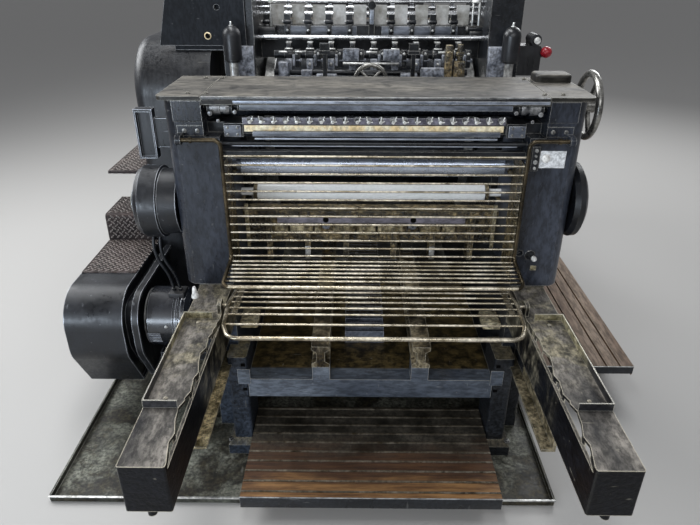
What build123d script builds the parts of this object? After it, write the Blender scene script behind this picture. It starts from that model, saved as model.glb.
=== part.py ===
from build123d import *
import os
from math import atan2, cos, degrees, sin, sqrt

# Cylinder letterpress, seen from its ink unit and type bed end.
# X runs to the operator's right, Y from the bed run-out arms to the feeder, Z up.
# All places are worked out with Y = 0 at the front face of the ink unit. The finished
# pieces are shifted along Y at the end, so that the origin is under the middle.

# driving dimensions, millimetres
half_width = 1115
machine_length = 3200
machine_top = 1600
arm_front = -819
feeder_back = arm_front + machine_length
feeder_front = feeder_back - 601
wall_back = feeder_back - 231

pan_sheet = 3
pan_rim = 25
pan_left = -(half_width - 15)
pan_right = 630
pan_front = -330
pan_back = wall_back + 150

portal_inner = 470
head_inner = 515
head_bottom = 1188
portal_ridge = 600
portal_outer = 640
portal_depth = 330
portal_bottom = 680
portal_top = 1309
cover_sheet = 12
cover_proud = 10
seam = 3
corner_box_height = 74
corner_box_proud = 6

leg_inner = 434
leg_outer = 503
leg_front = -80
leg_back = 60
leg_top = 430
foot_height = 60
foot_spread = 22

wall_inner = 474
wall_outer = 586
wall_low = 110
frame_inner = 445
frame_outer = 565

beam_low = 256
beam_high = 338
beam_depth = 60
middle_beam = 560
rail_seat = 400
rail_top = 486
rail_inner = 143
rail_width = 62
rail_front = -92
rail_back = wall_back - 450

cylinder_y = 950
cylinder_z = machine_top - 600
cylinder_radius = 305
cylinder_half = 431
cylinder_top = cylinder_z + cylinder_radius
bearer_width = 40
journal_radius = 14
journal_depth = 25
journal_gap = 0.08

bed_high = cylinder_z - cylinder_radius - 30
bed_low = bed_high - 65
bed_half = 400
bed_front = 640
bed_back = 1520

arm_inner = 474
arm_outer = 583
arm_top = 677
arm_height = 140
arm_wall = 9
arm_bite_depth = 20
arm_root = -130
arm_bites = (3, 10, 6, 15, 19, 12, 5, 9, 4, 12, 17, 8, 11, 6, 3)
tray_front = -625
tray_back = -212
tray_rim = 23
tray_sheet = 3
tray_inset = 22

ledge_low = 392
ledge_high = 452
ledge_reach = -475
ledge_sheet = 8
ledge_inner = 488
ledge_outer = 530

guard_tube = 6.5
guard_rod = 3.4
guard_hinge_y = -30
guard_hinge_z = 1187
guard_half = 462
guard_rod_top = guard_hinge_z - 49
guard_knee = 795
guard_rod_bottom = guard_knee + 8
guard_rods = 13
guard_lip_y = -146
guard_lip_z = 750
guard_lip_half = 475
guard_lip_rods = 6
guard_pivot_gap = 0.08

shield_z = 700
shield_pivot_y = -170
shield_back = -62
shield_front = -354
shield_half = 442
shield_rods = (-90, -121, -152, -188, -225, -281)
pivot_pin = 5

key_count = 22
key_pitch = 36
key_seat_low = (26, head_bottom + 31)
key_seat_high = (38, head_bottom + 48)
key_seat_gap = 0.3
trough_half = 400
bar_z_place = head_bottom + 86

drive_room = half_width - portal_outer
belt_cover_width = 0.4505 * drive_room
belt_front = 40
belt_top = 580
belt_low = 155
belt_back = 1040
belt_brow = 130
belt_chin = 345
belt_chin_radius = 110
belt_taper = 104
belt_core = 62
belt_flange_start = 26
belt_flange_end = 50
belt_pocket = 12

gear_cover_outer = half_width - 0.421 * drive_room
gear_cover_inner = portal_outer - 28
gear_cover_front = 550
gear_cover_back = 1350
gear_cover_top = cylinder_z + 392
gear_cover_brow = 200
gear_cover_tail = 290
gear_cover_rim = 50
cover_gap = 0.3

motor_y = 215
motor_z = 416
motor_radius = 115
motor_left = half_width - belt_cover_width - belt_flange_end - 6
motor_right = portal_outer + 36

wheel_y = 230
wheel_z = 1237
wheel_x = portal_outer + 70
wheel_radius = 101
wheel_rim = 12

tie_front = 545
tie_back = 600
tie_low = 1190
tie_high = 1236

deck_top = 100
deck_front = -393
deck_back = 50
deck_left = -430
deck_right = 430
strip_pitch = 45
strip_count = 10
deck_edge = 45

board_top = 150
board_inner = 662
board_front = 262
board_back = feeder_back - 741
board_count = 8
board_gap = 8
board_edge = 4


# helpers
def block(x, y, z):
    """Box between three pairs of low and high values."""
    middle = [(low + high) / 2 for low, high in (x, y, z)]
    size = [high - low for low, high in (x, y, z)]
    return Pos(*middle) * Box(*size)


def bar_x(x, y, z, radius):
    return Pos((x[0] + x[1]) / 2, y, z) * Rot(0, 90, 0) * Cylinder(radius, x[1] - x[0])


def bar_y(x, y, z, radius):
    return Pos(x, (y[0] + y[1]) / 2, z) * Rot(90, 0, 0) * Cylinder(radius, y[1] - y[0])


def bar_z(x, y, z, radius):
    return Pos(x, y, (z[0] + z[1]) / 2) * Cylinder(radius, z[1] - z[0])


def side_plate(outline, x):
    """Closed outline of (y, z) points, as thick as the pair of x values."""
    face = make_face(Polyline(*[(x[0], y, z) for y, z in outline], close=True))
    return extrude(face, amount=x[1] - x[0], dir=(1, 0, 0))


def turned_x(profile, y, z):
    """Solid turned round the line through y, z from (x, radius) points."""
    face = make_face(Polyline(*[(x, y, z + radius) for x, radius in profile], close=True))
    return revolve(face, Axis((0, y, z), (1, 0, 0)), 360)


def tube(path, radius):
    return sweep(Plane(origin=path @ 0, z_dir=path % 0) * Circle(radius), path=path)


def other_side(shape):
    return mirror(shape, Plane.YZ)


def group(*shapes):
    """Solids that share a node and don't touch."""
    return Compound([solid for shape in shapes for solid in shape.solids()])


# floor pan and base frame
def drip_pan():
    pan = block((pan_left, pan_right), (pan_front, pan_back), (0, pan_rim))
    inside = block((pan_left + pan_sheet, pan_right - pan_sheet),
                   (pan_front + pan_sheet, pan_back - pan_sheet), (pan_sheet, pan_rim + 1))
    return pan - inside


def bed_side():
    """Right hand bed wall with its front leg, foot and the outer bed ledge."""
    outline = [(0, portal_bottom), (0, leg_top - 30), (leg_back, leg_top - 60), (leg_back, pan_sheet),
               (230, pan_sheet), (270, wall_low), (wall_back - 330, wall_low),
               (wall_back - 290, pan_sheet), (wall_back, pan_sheet), (wall_back, portal_bottom)]
    wall = side_plate(outline, (wall_inner, wall_outer))
    window = (wall_back - 700) / 3
    for number in range(3):
        start = 380 + number * (window + 40)
        pocket = block((wall_outer - 45, wall_outer + 1), (start, start + window),
                       (wall_low + 70, portal_bottom - 80))
        pocket = fillet(pocket.edges().filter_by(Axis.X), 40)
        wall -= pocket
    leg = block((leg_inner, leg_outer), (leg_front, leg_back), (pan_sheet, leg_top))
    leg = fillet(leg.edges().filter_by(Axis.Z).group_by(Axis.Y)[0], 10)
    foot = block((leg_inner - foot_spread, leg_outer + foot_spread),
                 (leg_front - foot_spread, leg_back + foot_spread),
                 (pan_sheet, pan_sheet + foot_height))
    foot = chamfer(foot.faces().sort_by(Axis.Z)[-1].edges(), foot_spread - 4)
    ledge = block((ledge_inner, ledge_outer), (ledge_reach, leg_back + 40),
                  (ledge_low, ledge_low + ledge_sheet))
    ledge += block((ledge_outer - ledge_sheet, ledge_outer), (ledge_reach, leg_back + 40),
                   (ledge_low, ledge_high))
    return wall + leg + foot + ledge


def cross_beam(front):
    """Beam between the bed walls, with two seats for the rails."""
    beam = block((-leg_inner, leg_inner), (front, front + beam_depth), (beam_low, beam_high))
    beam = fillet(beam.edges().filter_by(Axis.X).group_by(Axis.Z)[0], 8)
    for inner in (-rail_inner - rail_width, rail_inner):
        beam += block((inner, inner + rail_width), (front, front + beam_depth), (beam_high - 1, rail_seat))
    return beam


def front_beam():
    """Front beam with the greasy floor plate that runs back to the middle beam."""
    floor = block((-leg_inner, leg_inner), (leg_front + beam_depth - 1, middle_beam),
                  (beam_high - 8, beam_high))
    return cross_beam(leg_front) + floor


def inner_rail():
    """Right hand bed rail with a foot flange and a ground track on top."""
    web = 30
    middle = rail_inner + rail_width / 2
    outline = [(rail_inner, rail_seat), (rail_inner + rail_width, rail_seat),
               (rail_inner + rail_width, rail_seat + 14), (middle + web / 2, rail_seat + 24),
               (middle + web / 2, rail_top - 24), (rail_inner + rail_width, rail_top - 14),
               (rail_inner + rail_width, rail_top), (rail_inner, rail_top), (rail_inner, rail_top - 14),
               (middle - web / 2, rail_top - 24), (middle - web / 2, rail_seat + 24),
               (rail_inner, rail_seat + 14)]
    face = make_face(Polyline(*[(x, rail_front, z) for x, z in outline], close=True))
    return extrude(face, amount=rail_back - rail_front, dir=(0, 1, 0))


def bed_rack():
    """Toothed rack between the rails that drives the type bed."""
    front, back, pitch = 150, 1100, 31
    base = beam_high + 28
    tip = base + 18
    rack = block((-93, 57), (front, back), (beam_high, base))
    teeth = int((back - front) / pitch)
    for number in range(teeth):
        y = front + pitch * number
        rack += side_plate([(y, base - 1), (y + 24, base - 1), (y + 17, tip), (y + 7, tip)], (-93, 57))
    return rack


def type_bed():
    bed = block((-bed_half, bed_half), (bed_front, bed_back), (bed_low, bed_high))
    bed -= block((-bed_half + 24, bed_half - 24), (bed_front + 40, bed_back - 40),
                 (bed_high - 12, bed_high + 1))
    for side in (-1, 1):
        middle = side * (rail_inner + rail_width / 2)
        bed += block((middle - 24, middle + 24), (bed_front, bed_back), (rail_top, bed_low))
    return bed


# bed run-out arms with their tool trays
def run_out_arm():
    """Right hand arm: a cast channel open below, its top eaten away along the inner wall."""
    low = arm_top - arm_height
    arm = block((arm_inner, arm_outer), (arm_front, 0), (low, arm_top))
    arm = fillet(arm.edges().filter_by(Axis.Z).group_by(Axis.Y)[0], 6)
    arm -= block((arm_inner + arm_wall, arm_outer - arm_wall), (arm_front + arm_wall, arm_root + arm_wall),
                 (low - 1, arm_top - arm_wall))
    edge = [(arm_inner - 1, arm_front + arm_wall)]
    for number, bite in enumerate(arm_bites):
        share = (number + 0.5) / len(arm_bites)
        y = arm_front + arm_wall + share * (tray_back - 30 - arm_front)
        edge.append((arm_inner + bite, y))
        edge.append((arm_inner + bite + 2, y + 11))
    edge.append((arm_inner - 1, tray_back))
    bites = Pos(0, 0, arm_top - arm_bite_depth) * make_face(Polyline(*edge, close=True))
    arm -= extrude(bites, amount=arm_bite_depth + 1)
    nub = bar_z((arm_inner + arm_outer) / 2, arm_front + 18, (low - 24, arm_top - arm_wall + 1), 11)
    boss = block((arm_inner + arm_wall - 1, arm_outer - arm_wall + 1),
                 (arm_front + arm_wall - 1, arm_front + 76), (low, low + 12))
    lug = block((arm_inner, arm_inner + 12), (shield_pivot_y - 20, shield_pivot_y + 20),
                (arm_top - 1, shield_z + 14))
    lug = fillet(lug.edges().filter_by(Axis.X).group_by(Axis.Z)[-1], 10)
    lug -= bar_x((arm_inner - 1, arm_inner + 13), shield_pivot_y, shield_z, pivot_pin + guard_pivot_gap)
    return arm + nub + boss + lug


def arm_tray():
    """Right hand folded rim that makes a shallow tray of the arm's top, open on its inner side."""
    top = arm_top + tray_rim
    tray = block((arm_inner + tray_inset, arm_outer), (tray_front, tray_back), (arm_top, top))
    inside = block((arm_inner + tray_inset - 1, arm_outer - tray_sheet),
                   (tray_front + tray_sheet, tray_back - tray_sheet), (arm_top - 1, top + 1))
    return tray - inside


# ink unit
roller_places = {
    "fountain_roller": (84, head_bottom + 70, head_inner),
    "steel_roller": (168, 1052, portal_inner),
    "white_roller": (275, 912, portal_inner),
}


def column():
    """Right hand column of the ink unit with its rounded outer corner."""
    low, high = portal_bottom, portal_top - cover_sheet
    corner = portal_outer - portal_ridge
    line = Polyline((portal_inner, portal_depth), (portal_inner, 0), (portal_ridge, 0))
    bend = JernArc((portal_ridge, 0), (1, 0.35), corner * 1.35, 60)
    back = Polyline(bend @ 1, (portal_outer, 70), (portal_outer, portal_depth), (portal_inner, portal_depth))
    post = extrude(Pos(0, 0, low) * make_face([line, bend, back]), amount=high - low)
    step = portal_top - corner_box_height
    post -= block((portal_inner - 1, head_inner), (-1, 250), (head_bottom, high + 1))
    head = block((head_inner, portal_ridge + 2), (-corner_box_proud, 30), (step, high))
    head = fillet(head.edges().filter_by(Axis.X).group_by(Axis.Z)[0].group_by(Axis.Y)[0], 4)
    strip = block((head_inner, portal_ridge - 6), (-3, 10), (step - 42, step - 12))
    post = post + head + strip
    for y, z, seat in roller_places.values():
        post -= bar_x((seat - 1, seat + journal_depth), y, z, journal_radius + journal_gap)
    lug = block((portal_ridge - 22, portal_ridge - 6), (guard_hinge_y - 14, 1),
                (guard_hinge_z - 14, guard_hinge_z + 14))
    lug = fillet(lug.edges().filter_by(Axis.X).group_by(Axis.Y)[0], 12)
    lug -= bar_x((portal_ridge - 23, portal_ridge - 5), guard_hinge_y, guard_hinge_z,
                 guard_tube + guard_pivot_gap)
    return post + lug


def column_right():
    hole = bar_y(487, (-1, 22), 803, 11)
    boss = bar_x((portal_outer - 2, portal_outer + 22), wheel_y, wheel_z, 26)
    bore = bar_x((portal_outer - 60, portal_outer + 23), wheel_y, wheel_z, 11 + journal_gap)
    return column() - hole + boss - bore


def column_left():
    return other_side(column())


def top_cover():
    """Flat cover with end caps, a seam between each cap and the middle, and a raised corner."""
    sheet = portal_top - cover_sheet
    half = portal_outer + cover_proud
    top = block((-half, half), (0, portal_depth), (sheet, portal_top))
    top = fillet(top.edges().filter_by(Axis.Z).group_by(Axis.Y)[0], 20)
    lip = block((-head_inner + 1, head_inner - 1), (-2, 10), (portal_top - 24, portal_top - 1))
    hump = block((528, half - 3), (226, portal_depth - 18), (portal_top - 1, portal_top + 26))
    hump = fillet(hump.edges().filter_by(Axis.Z), 20)
    hump = fillet(hump.faces().sort_by(Axis.Z)[-1].edges(), 9)
    cover = top + lip + hump
    for side in (-1, 1):
        x = side * head_inner
        cover -= block((x - seam / 2, x + seam / 2), (-3, portal_depth + 1), (portal_top - seam, portal_top + 1))
    return cover


def fountain_body():
    """Ink trough with its sloping blade, end blocks, guard bar and tie bars between the columns."""
    profile = [(26, head_bottom + 4), key_seat_low, key_seat_high, (44, head_bottom + 48),
               (60, head_bottom + 40), (112, head_bottom + 22), (124, head_bottom + 8),
               (112, head_bottom - 8), (40, head_bottom - 8)]
    trough = side_plate(profile, (-trough_half, trough_half))
    for side in (-1, 1):
        low, high = sorted((side * trough_half, side * (trough_half + 58)))
        trough += block((low, high), (18, 110), (head_bottom - 4, head_bottom + 38))
        low, high = sorted((side * (trough_half + 57), side * head_inner))
        trough += block((low, high), (58, 110), (head_bottom, head_bottom + 32))
    bar = bar_x((-head_inner, head_inner), 36, bar_z_place, 7)
    bar += block((-412, 412), (22, 36), (bar_z_place - 10, bar_z_place + 10))
    for side in (-1, 1):
        low, high = sorted((side * 428, side * 503))
        bar += bar_x((low, high), 34, bar_z_place - 4, 19)
    ties = bar_x((-portal_inner, portal_inner), 34, head_bottom - 28, 8)
    ties += block((-portal_inner, portal_inner), (30, 52), (head_bottom - 76, head_bottom - 52))
    return group(trough, bar, ties)


def fountain_strip():
    return block((-396, 390), (20, 26), (head_bottom + 12, head_bottom + 31))


def ink_keys():
    """Row of thumb screws that set the ink, square to the sloping front of the trough."""
    rise = key_seat_high[1] - key_seat_low[1]
    run = key_seat_high[0] - key_seat_low[0]
    slope = atan2(rise, run)
    y = (key_seat_low[0] + key_seat_high[0]) / 2 - key_seat_gap * sin(slope)
    z = (key_seat_low[1] + key_seat_high[1]) / 2 + key_seat_gap * cos(slope)
    head = extrude(RegularPolygon(9, 8), amount=9)
    stem = extrude(RegularPolygon(5, 6), amount=14)
    key = Pos(0, 0, 10) * head + stem
    row = [((number - (key_count - 1) / 2) * key_pitch, y, z) for number in range(key_count)]
    return group(*[Pos(*place) * Rot(degrees(slope), 0, 0) * key for place in row])


def roller(place, radius, half):
    y, z, seat = place
    reach = seat + journal_depth - 1
    profile = [(0.0, radius), (half - 2, radius), (half, radius - 2), (half, journal_radius + 6),
               (half + 16, journal_radius + 6), (half + 16, journal_radius), (reach, journal_radius), (reach, 0)]
    return turned_x([(-x, size) for x, size in reversed(profile)] + profile[1:], y, z)


def cross_plate():
    """Greasy casting across the frame under the rollers, with ribs below."""
    back = portal_depth
    plate = side_plate([(back - 68, 842), (back, 842), (back, 700), (back - 30, 700), (back - 40, 806),
                        (back - 68, 822)], (-portal_inner, portal_inner))
    for x in (-380, -235, -90, 90, 235, 380):
        plate += block((x - 10, x + 10), (back - 58, back), (640, 815))
    return plate


# wire guards
def upper_guard():
    """Bent tube frame with welded rods, hung on its two top ends."""
    end = portal_ridge - 4
    corners = [(-end, guard_hinge_y, guard_hinge_z), (-guard_half, guard_hinge_y, guard_hinge_z),
               (-guard_half, guard_hinge_y, guard_knee), (-guard_lip_half, guard_lip_y, guard_lip_z),
               (guard_lip_half, guard_lip_y, guard_lip_z), (guard_half, guard_hinge_y, guard_knee),
               (guard_half, guard_hinge_y, guard_hinge_z), (end, guard_hinge_y, guard_hinge_z)]
    frame = tube(FilletPolyline(*corners, radius=22), guard_tube)
    pitch = (guard_rod_top - guard_rod_bottom) / (guard_rods - 1)
    for number in range(guard_rods):
        frame += bar_x((-guard_half, guard_half), guard_hinge_y, guard_rod_top - number * pitch, guard_rod)
    for number in range(guard_lip_rods):
        share = (number + 0.9) / (guard_lip_rods + 1.4)
        y = guard_hinge_y + share * (guard_lip_y - guard_hinge_y)
        z = guard_knee + share * (guard_lip_z - guard_knee)
        half = guard_half + share * (guard_lip_half - guard_half)
        frame += bar_x((-half, half), y, z, guard_rod)
    for side in (-1, 1):
        x = side * (portal_ridge - 50)
        frame += bar_x((x - 4, x + 4), guard_hinge_y, guard_hinge_z, guard_tube + 3)
    return frame


def lower_guard():
    """Flat shield of rods in front of the bed, turning on two pins in the arms."""
    bulge = shield_half + 13
    corners = [(-shield_half, shield_back, shield_z), (-bulge, shield_pivot_y, shield_z),
               (-shield_half - 4, -290, shield_z), (-shield_half + 20, shield_front, shield_z),
               (shield_half - 20, shield_front, shield_z), (shield_half + 4, -290, shield_z),
               (bulge, shield_pivot_y, shield_z), (shield_half, shield_back, shield_z)]
    frame = tube(FilletPolyline(*corners, radius=[80, 40, 40, 40, 40, 80]), guard_tube)
    for y in shield_rods:
        frame += bar_x((-shield_half - 4, shield_half + 4), y, shield_z, guard_rod)
    for side in (-1, 1):
        low, high = sorted((side * (shield_half - 24), side * (shield_half - 6)))
        frame += block((low, high), (-215, shield_back + 6), (shield_z - 2, shield_z + 2))
        low, high = sorted((side * (bulge - 4), side * (arm_inner + 12)))
        frame += bar_x((low, high), shield_pivot_y, shield_z, pivot_pin)
    return frame


# hand controls and round covers
def side_handwheel():
    """Polished handwheel on the operator side, three spokes."""
    rim = Pos(wheel_x, wheel_y, wheel_z) * Rot(0, 90, 0) * Torus(wheel_radius, wheel_rim)
    hub = bar_x((wheel_x - 16, wheel_x + 20), wheel_y, wheel_z, 24)
    shaft = bar_x((portal_outer - 50, wheel_x), wheel_y, wheel_z, 11)
    wheel = rim + hub + shaft
    for number in range(3):
        spoke = Pos(0, 0, wheel_radius / 2) * Cylinder(8, wheel_radius)
        wheel += Pos(wheel_x, wheel_y, wheel_z) * Rot(120 * number + 30, 0, 0) * spoke
    return wheel


def small_handwheel():
    """Small impression handwheel on the tie beam behind the ink unit."""
    x, y, z, radius = -3, 500, 1262, 58
    wheel = Pos(x, y, z) * Rot(90, 0, 0) * Torus(radius, 8)
    wheel += bar_y(x, (y - 14, y + 14), z, 16)
    wheel += bar_y(x, (y, tie_front + 30), z, 8)
    for number in range(4):
        spoke = Pos(0, 0, radius / 2) * Cylinder(5, radius)
        wheel += Pos(x, y, z) * Rot(0, 90 * number + 45, 0) * spoke
    return wheel


def tie_beam():
    """Beam between the side frames that carries the wheel, the posts and clamps."""
    beam = block((-frame_inner, frame_inner), (tie_front, tie_back), (tie_low, tie_high))
    boss = bar_y(-3, (tie_front - 12, tie_back), 1262, 20)
    boss += block((-25, 19), (tie_front, tie_back), (tie_high - 1, 1262))
    boss -= bar_y(-3, (tie_front - 13, tie_front + 32), 1262, 8 + journal_gap)
    beam += boss
    for x in (-174, 158):
        post = block((x - 8, x + 8), (tie_front + 18, tie_back - 14), (tie_high - 1, 1352))
        post += block((x - 21, x + 21), (tie_front + 12, tie_back - 8), (1349, 1361))
        post += block((x - 18, x + 18), (tie_front + 16, tie_back - 12), (1360, 1386))
        beam += post
    return beam


def round_cover_left():
    profile = [(-portal_outer, 0), (-portal_outer, 108), (-700, 112), (-702, 122), (-760, 122),
               (-776, 112), (-780, 98), (-780, 58), (-801, 54), (-801, 0)]
    return turned_x(profile, 125, 932)


def round_cover_right():
    profile = [(portal_outer, 0), (portal_outer, 112), (654, 124), (672, 122), (684, 102), (689, 56), (689, 0)]
    return turned_x(profile, 107, 955)


def drive_side_box():
    """Folded sheet box with a lipped front on the drive side."""
    box = block((-806, -744), (234, 270), (1046, 1216))
    box -= block((-800, -750), (233, 250), (1052, 1207))
    return box + block((-745, -portal_outer), (246, 268), (1084, 1184))


def control_head():
    """Starting control on the operator side frame, with a ball lever's bracket."""
    head = block((frame_outer, 652), (632, 712), (1262, 1372))
    head = fillet(head.edges().filter_by(Axis.Y).group_by(Axis.X)[-1], 12)
    head += bar_y(624, (622, 700), 1393, 21) + block((606, 642), (640, 700), (1360, 1393))
    head += bar_y(624, (612, 624), 1393, 9)
    return head - bar_x((626, 653), 665, 1338, 8 + journal_gap)


def control_lever():
    pin = bar_x((630, 664), 665, 1338, 8)
    hub = bar_x((653.5, 668), 665, 1338, 13)
    arm = Pos(661, 648, 1343) * Rot(106, 0, 0) * Cylinder(5, 44)
    return pin + hub + arm + Pos(668, 624, 1350) * Sphere(16)


# drive side: motor, belt guard, steps and gear cover
def belt_outline(inset):
    """Profile of the belt guard as a face in the YZ plane at x = 0, drawn in by the inset."""
    front, back = belt_front + inset, belt_back - inset
    low, top = belt_low + inset, belt_top - inset
    taper = belt_taper * (belt_chin - low) / (belt_chin - belt_low)
    face = make_face(Polyline((front, belt_chin), (front, top), (back, top), (back, low),
                              (front + taper, low), close=True))
    corners = face.vertices().filter_by_position(Axis.X, front - 1, front + 1).sort_by(Axis.Y)
    face = fillet(corners[-1], belt_brow - inset)
    corners = face.vertices().filter_by_position(Axis.X, front - 1, front + 1).sort_by(Axis.Y)
    return Plane.YZ * fillet(corners[0], belt_chin_radius)


def belt_guard():
    """Closed guard with a bright rim, a sunk core and a second flange that the motor enters."""
    outer = -half_width
    inner = outer + belt_cover_width
    guard = extrude(Pos(outer, 0, 0) * belt_outline(0), amount=belt_cover_width, dir=(1, 0, 0))
    guard -= extrude(Pos(inner - belt_pocket, 0, 0) * belt_outline(8), amount=belt_pocket + 1, dir=(1, 0, 0))
    core = extrude(Pos(inner - belt_pocket - 1, 0, 0) * belt_outline(belt_core),
                   amount=belt_pocket + belt_flange_start + 2, dir=(1, 0, 0))
    flange = extrude(Pos(inner + belt_flange_start, 0, 0) * belt_outline(20),
                     amount=belt_flange_end - belt_flange_start, dir=(1, 0, 0))
    flange -= extrude(Pos(inner + belt_flange_end - 14, 0, 0) * belt_outline(30), amount=15, dir=(1, 0, 0))
    guard = guard + core + flange
    guard -= block((-gear_cover_outer - cover_gap, inner + belt_flange_end + 1),
                   (gear_cover_front - cover_gap, belt_back + 1), (0, machine_top))
    leg = block((outer + 90, outer + 130), (belt_back - 200, belt_back - 140), (pan_sheet, belt_low + 1))
    return guard + leg


def lower_chequer_step():
    """Chequer plate on the flat top of the belt guard."""
    outer = -half_width
    return block((outer + 2, outer + belt_cover_width - 2),
                 (belt_front + belt_brow + 85, gear_cover_front - 3), (belt_top, belt_top + 5))


def upper_chequer_step():
    """Chequered step box over the belt guard, beside the gear cover."""
    step = block((-half_width + 3, -gear_cover_outer - 3), (gear_cover_front - 2, 760),
                 (belt_top, belt_top + 122))
    return fillet(step.edges().filter_by(Axis.X).group_by(Axis.Z)[-1].group_by(Axis.Y)[0], 16)


def motor():
    """Smooth motor barrel with two rings and an end bell, its shaft and its foot bracket."""
    x0, x1 = -motor_left, -motor_right
    length = x1 - x0
    radius = motor_radius
    steps = [(0, 14), (0.035, 8), (0.06, 0), (0.62, 0), (0.632, 5), (0.667, 5), (0.679, 0), (0.726, 0),
             (0.738, 5), (0.773, 5), (0.785, 2), (0.858, 4), (0.953, 18), (1, 34), (1, radius)]
    profile = [(x0, 0)] + [(x0 + share * length, radius - depth) for share, depth in steps]
    body = turned_x(profile, motor_y, motor_z)
    flange = -half_width + belt_cover_width + belt_flange_end
    shaft = bar_x((flange - 14, x0 + 1), motor_y, motor_z, 24)
    bracket = block((x0 + 40, -wall_outer), (motor_y - 100, motor_y + 100),
                    (motor_z - radius - 26, motor_z - radius + 8))
    return body + shaft + bracket


def drive_cover():
    """Large gear cover with a rounded brow, straight sided down to the pan."""
    cover = block((-gear_cover_outer, -gear_cover_inner), (gear_cover_front, gear_cover_back),
                  (pan_sheet, gear_cover_top))
    ends = cover.edges().filter_by(Axis.X).group_by(Axis.Z)[-1]
    cover = fillet(ends.group_by(Axis.Y)[0], gear_cover_brow)
    ends = cover.edges().filter_by(Axis.X).filter_by_position(Axis.Y, gear_cover_back - 1, gear_cover_back + 1)
    cover = fillet(ends.sort_by(Axis.Z)[-1], gear_cover_tail)
    rim = cover.edges().filter_by_position(Axis.X, -gear_cover_outer - 1, -gear_cover_outer + 1)
    return fillet(rim.filter_by_position(Axis.Z, pan_sheet + 1, machine_top), gear_cover_rim)


def upper_panel():
    """Panel box on the drive side, above the gear cover, leaning in a little to the top."""
    low = gear_cover_top - 22
    room = gear_cover_outer - frame_outer
    left, right = -frame_outer - 0.68 * room, -frame_inner - 28
    lean = 0.154 * room
    outline = [(left, low), (right, low), (right, machine_top), (left + lean, machine_top)]
    face = make_face(Polyline(*[(x, 618, z) for x, z in outline], close=True))
    panel = extrude(face, amount=12, dir=(0, 1, 0))
    centre_y = gear_cover_front + gear_cover_brow
    centre_z = gear_cover_top - gear_cover_brow
    seat = []
    for y in (629, 655, 685, 715, 745):
        seat.append((y, centre_z + sqrt((gear_cover_brow + 1) ** 2 - (centre_y - y) ** 2)))
    seat += [(1130, gear_cover_top + cover_gap), (1130, machine_top), (629, machine_top)]
    panel += side_plate(seat, (left + lean, -frame_outer))
    for x, z in ((-575, low + 135), (-617, low + 35)):
        panel -= bar_y(x, (617, 634), z, 10)
    return panel


def drive_side_ledge():
    return block((-gear_cover_outer - 152, -gear_cover_outer), (556, 1250), (880, 892))


# printing cylinder group
def side_frame():
    """Right hand main side frame casting, from the ink unit back to the delivery."""
    outline = [(portal_depth, portal_bottom), (portal_depth, 1180), (480, 1150), (500, 1206), (610, 1206),
               (630, 1240), (630, machine_top), (1130, machine_top), (1200, machine_top - 120), (1240, 1300),
               (1420, 1120), (feeder_front - 80, 1010), (feeder_front - 20, portal_bottom)]
    frame = side_plate(outline, (frame_inner, frame_outer))
    frame -= bar_x((frame_inner - 1, frame_outer + 1), cylinder_y, cylinder_z, 60 + journal_gap)
    pocket = block((frame_outer - 25, frame_outer + 1), (1150, 1400), (760, 1060))
    pocket = fillet(pocket.edges().filter_by(Axis.X), 40)
    return frame - pocket


def side_frame_right():
    bearing = bar_x((frame_outer, frame_outer + 34), cylinder_y, cylinder_z, 112)
    bearing -= bar_x((frame_outer - 1, frame_outer + 20), cylinder_y, cylinder_z, 60 + journal_gap)
    return side_frame() + bearing


def side_frame_left():
    return other_side(side_frame())


def impression_cylinder():
    """Impression cylinder with polished bearer rims, a gripper gap and its shaft."""
    rim = cylinder_radius
    body = rim - 5
    rim_in = cylinder_half - bearer_width
    profile = [(-frame_outer, 0), (-frame_outer, 60), (-cylinder_half - 8, 60), (-cylinder_half - 8, 90),
               (-cylinder_half, 90), (-cylinder_half, rim - 3), (-cylinder_half + 3, rim), (-rim_in - 3, rim),
               (-rim_in, rim - 3), (-rim_in, body)]
    profile += [(-x, radius) for x, radius in reversed(profile)]
    drum = turned_x(profile, cylinder_y, cylinder_z)
    gap = side_plate([(cylinder_y - 10, cylinder_z - 230), (cylinder_y + 60, cylinder_z - 230),
                      (cylinder_y + 60, cylinder_z - rim - 5), (cylinder_y - 10, cylinder_z - rim - 5)],
                     (-rim_in + 8, rim_in - 8))
    turn = Pos(0, cylinder_y, cylinder_z) * Rot(118, 0, 0) * Pos(0, -cylinder_y, -cylinder_z)
    return drum - turn * gap


def gripper_rail():
    """Delivery bar over the cylinder, with tabs, an apron below it and a centre lever."""
    half = frame_inner
    low = cylinder_top + 79
    rail = block((-half, half), (790, 812), (low, low + 42))
    for number in range(-5, 6):
        if number != 0:
            x = number * 83 - (1 if number < 0 else -1)
            rail += block((x - 13, x + 13), (790, 800), (low + 41, low + 84))
    apron = block((-half, half), (811, 830), (cylinder_top - 5, low + 30))
    lever = block((-6, 16), (782, 800), (low, low + 128)) + bar_y(5, (774, 806), low + 118, 16)
    return rail + apron + lever


def cross_rods():
    """Rods between the side frames over the cylinder, with collars."""
    rods = [bar_x((-frame_inner, frame_inner), 730, cylinder_top + 83, 9)]
    for z, radius in ((cylinder_top + 184, 6), (cylinder_top + 206, 5)):
        collared = bar_x((-frame_inner, frame_inner), 860, z, radius)
        for x in (-331, -248, -163, -80, 90, 168, 253, 331):
            collared += bar_x((x - 8, x + 8), 860, z, radius + 5)
        rods.append(collared)
    rods.append(bar_x((-frame_inner, frame_inner), 1010, cylinder_top + 145, 14))
    return group(*rods)


def spring_housings():
    """Two domed spring housings on the shoulders of the side frames."""
    housings = []
    for side in (-1, 1):
        x, y = side * 516, 560
        stem = bar_z(x, y, (1206, 1325), 15)
        shell = bar_z(x, y, (1328, 1415), 33) + Pos(x, y, 1415) * Sphere(33)
        shell += bar_z(x, y, (1206, 1226), 28) + bar_z(x, y, (1320, 1330), 26)
        housings.append(stem + shell)
    return group(*housings)


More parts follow.
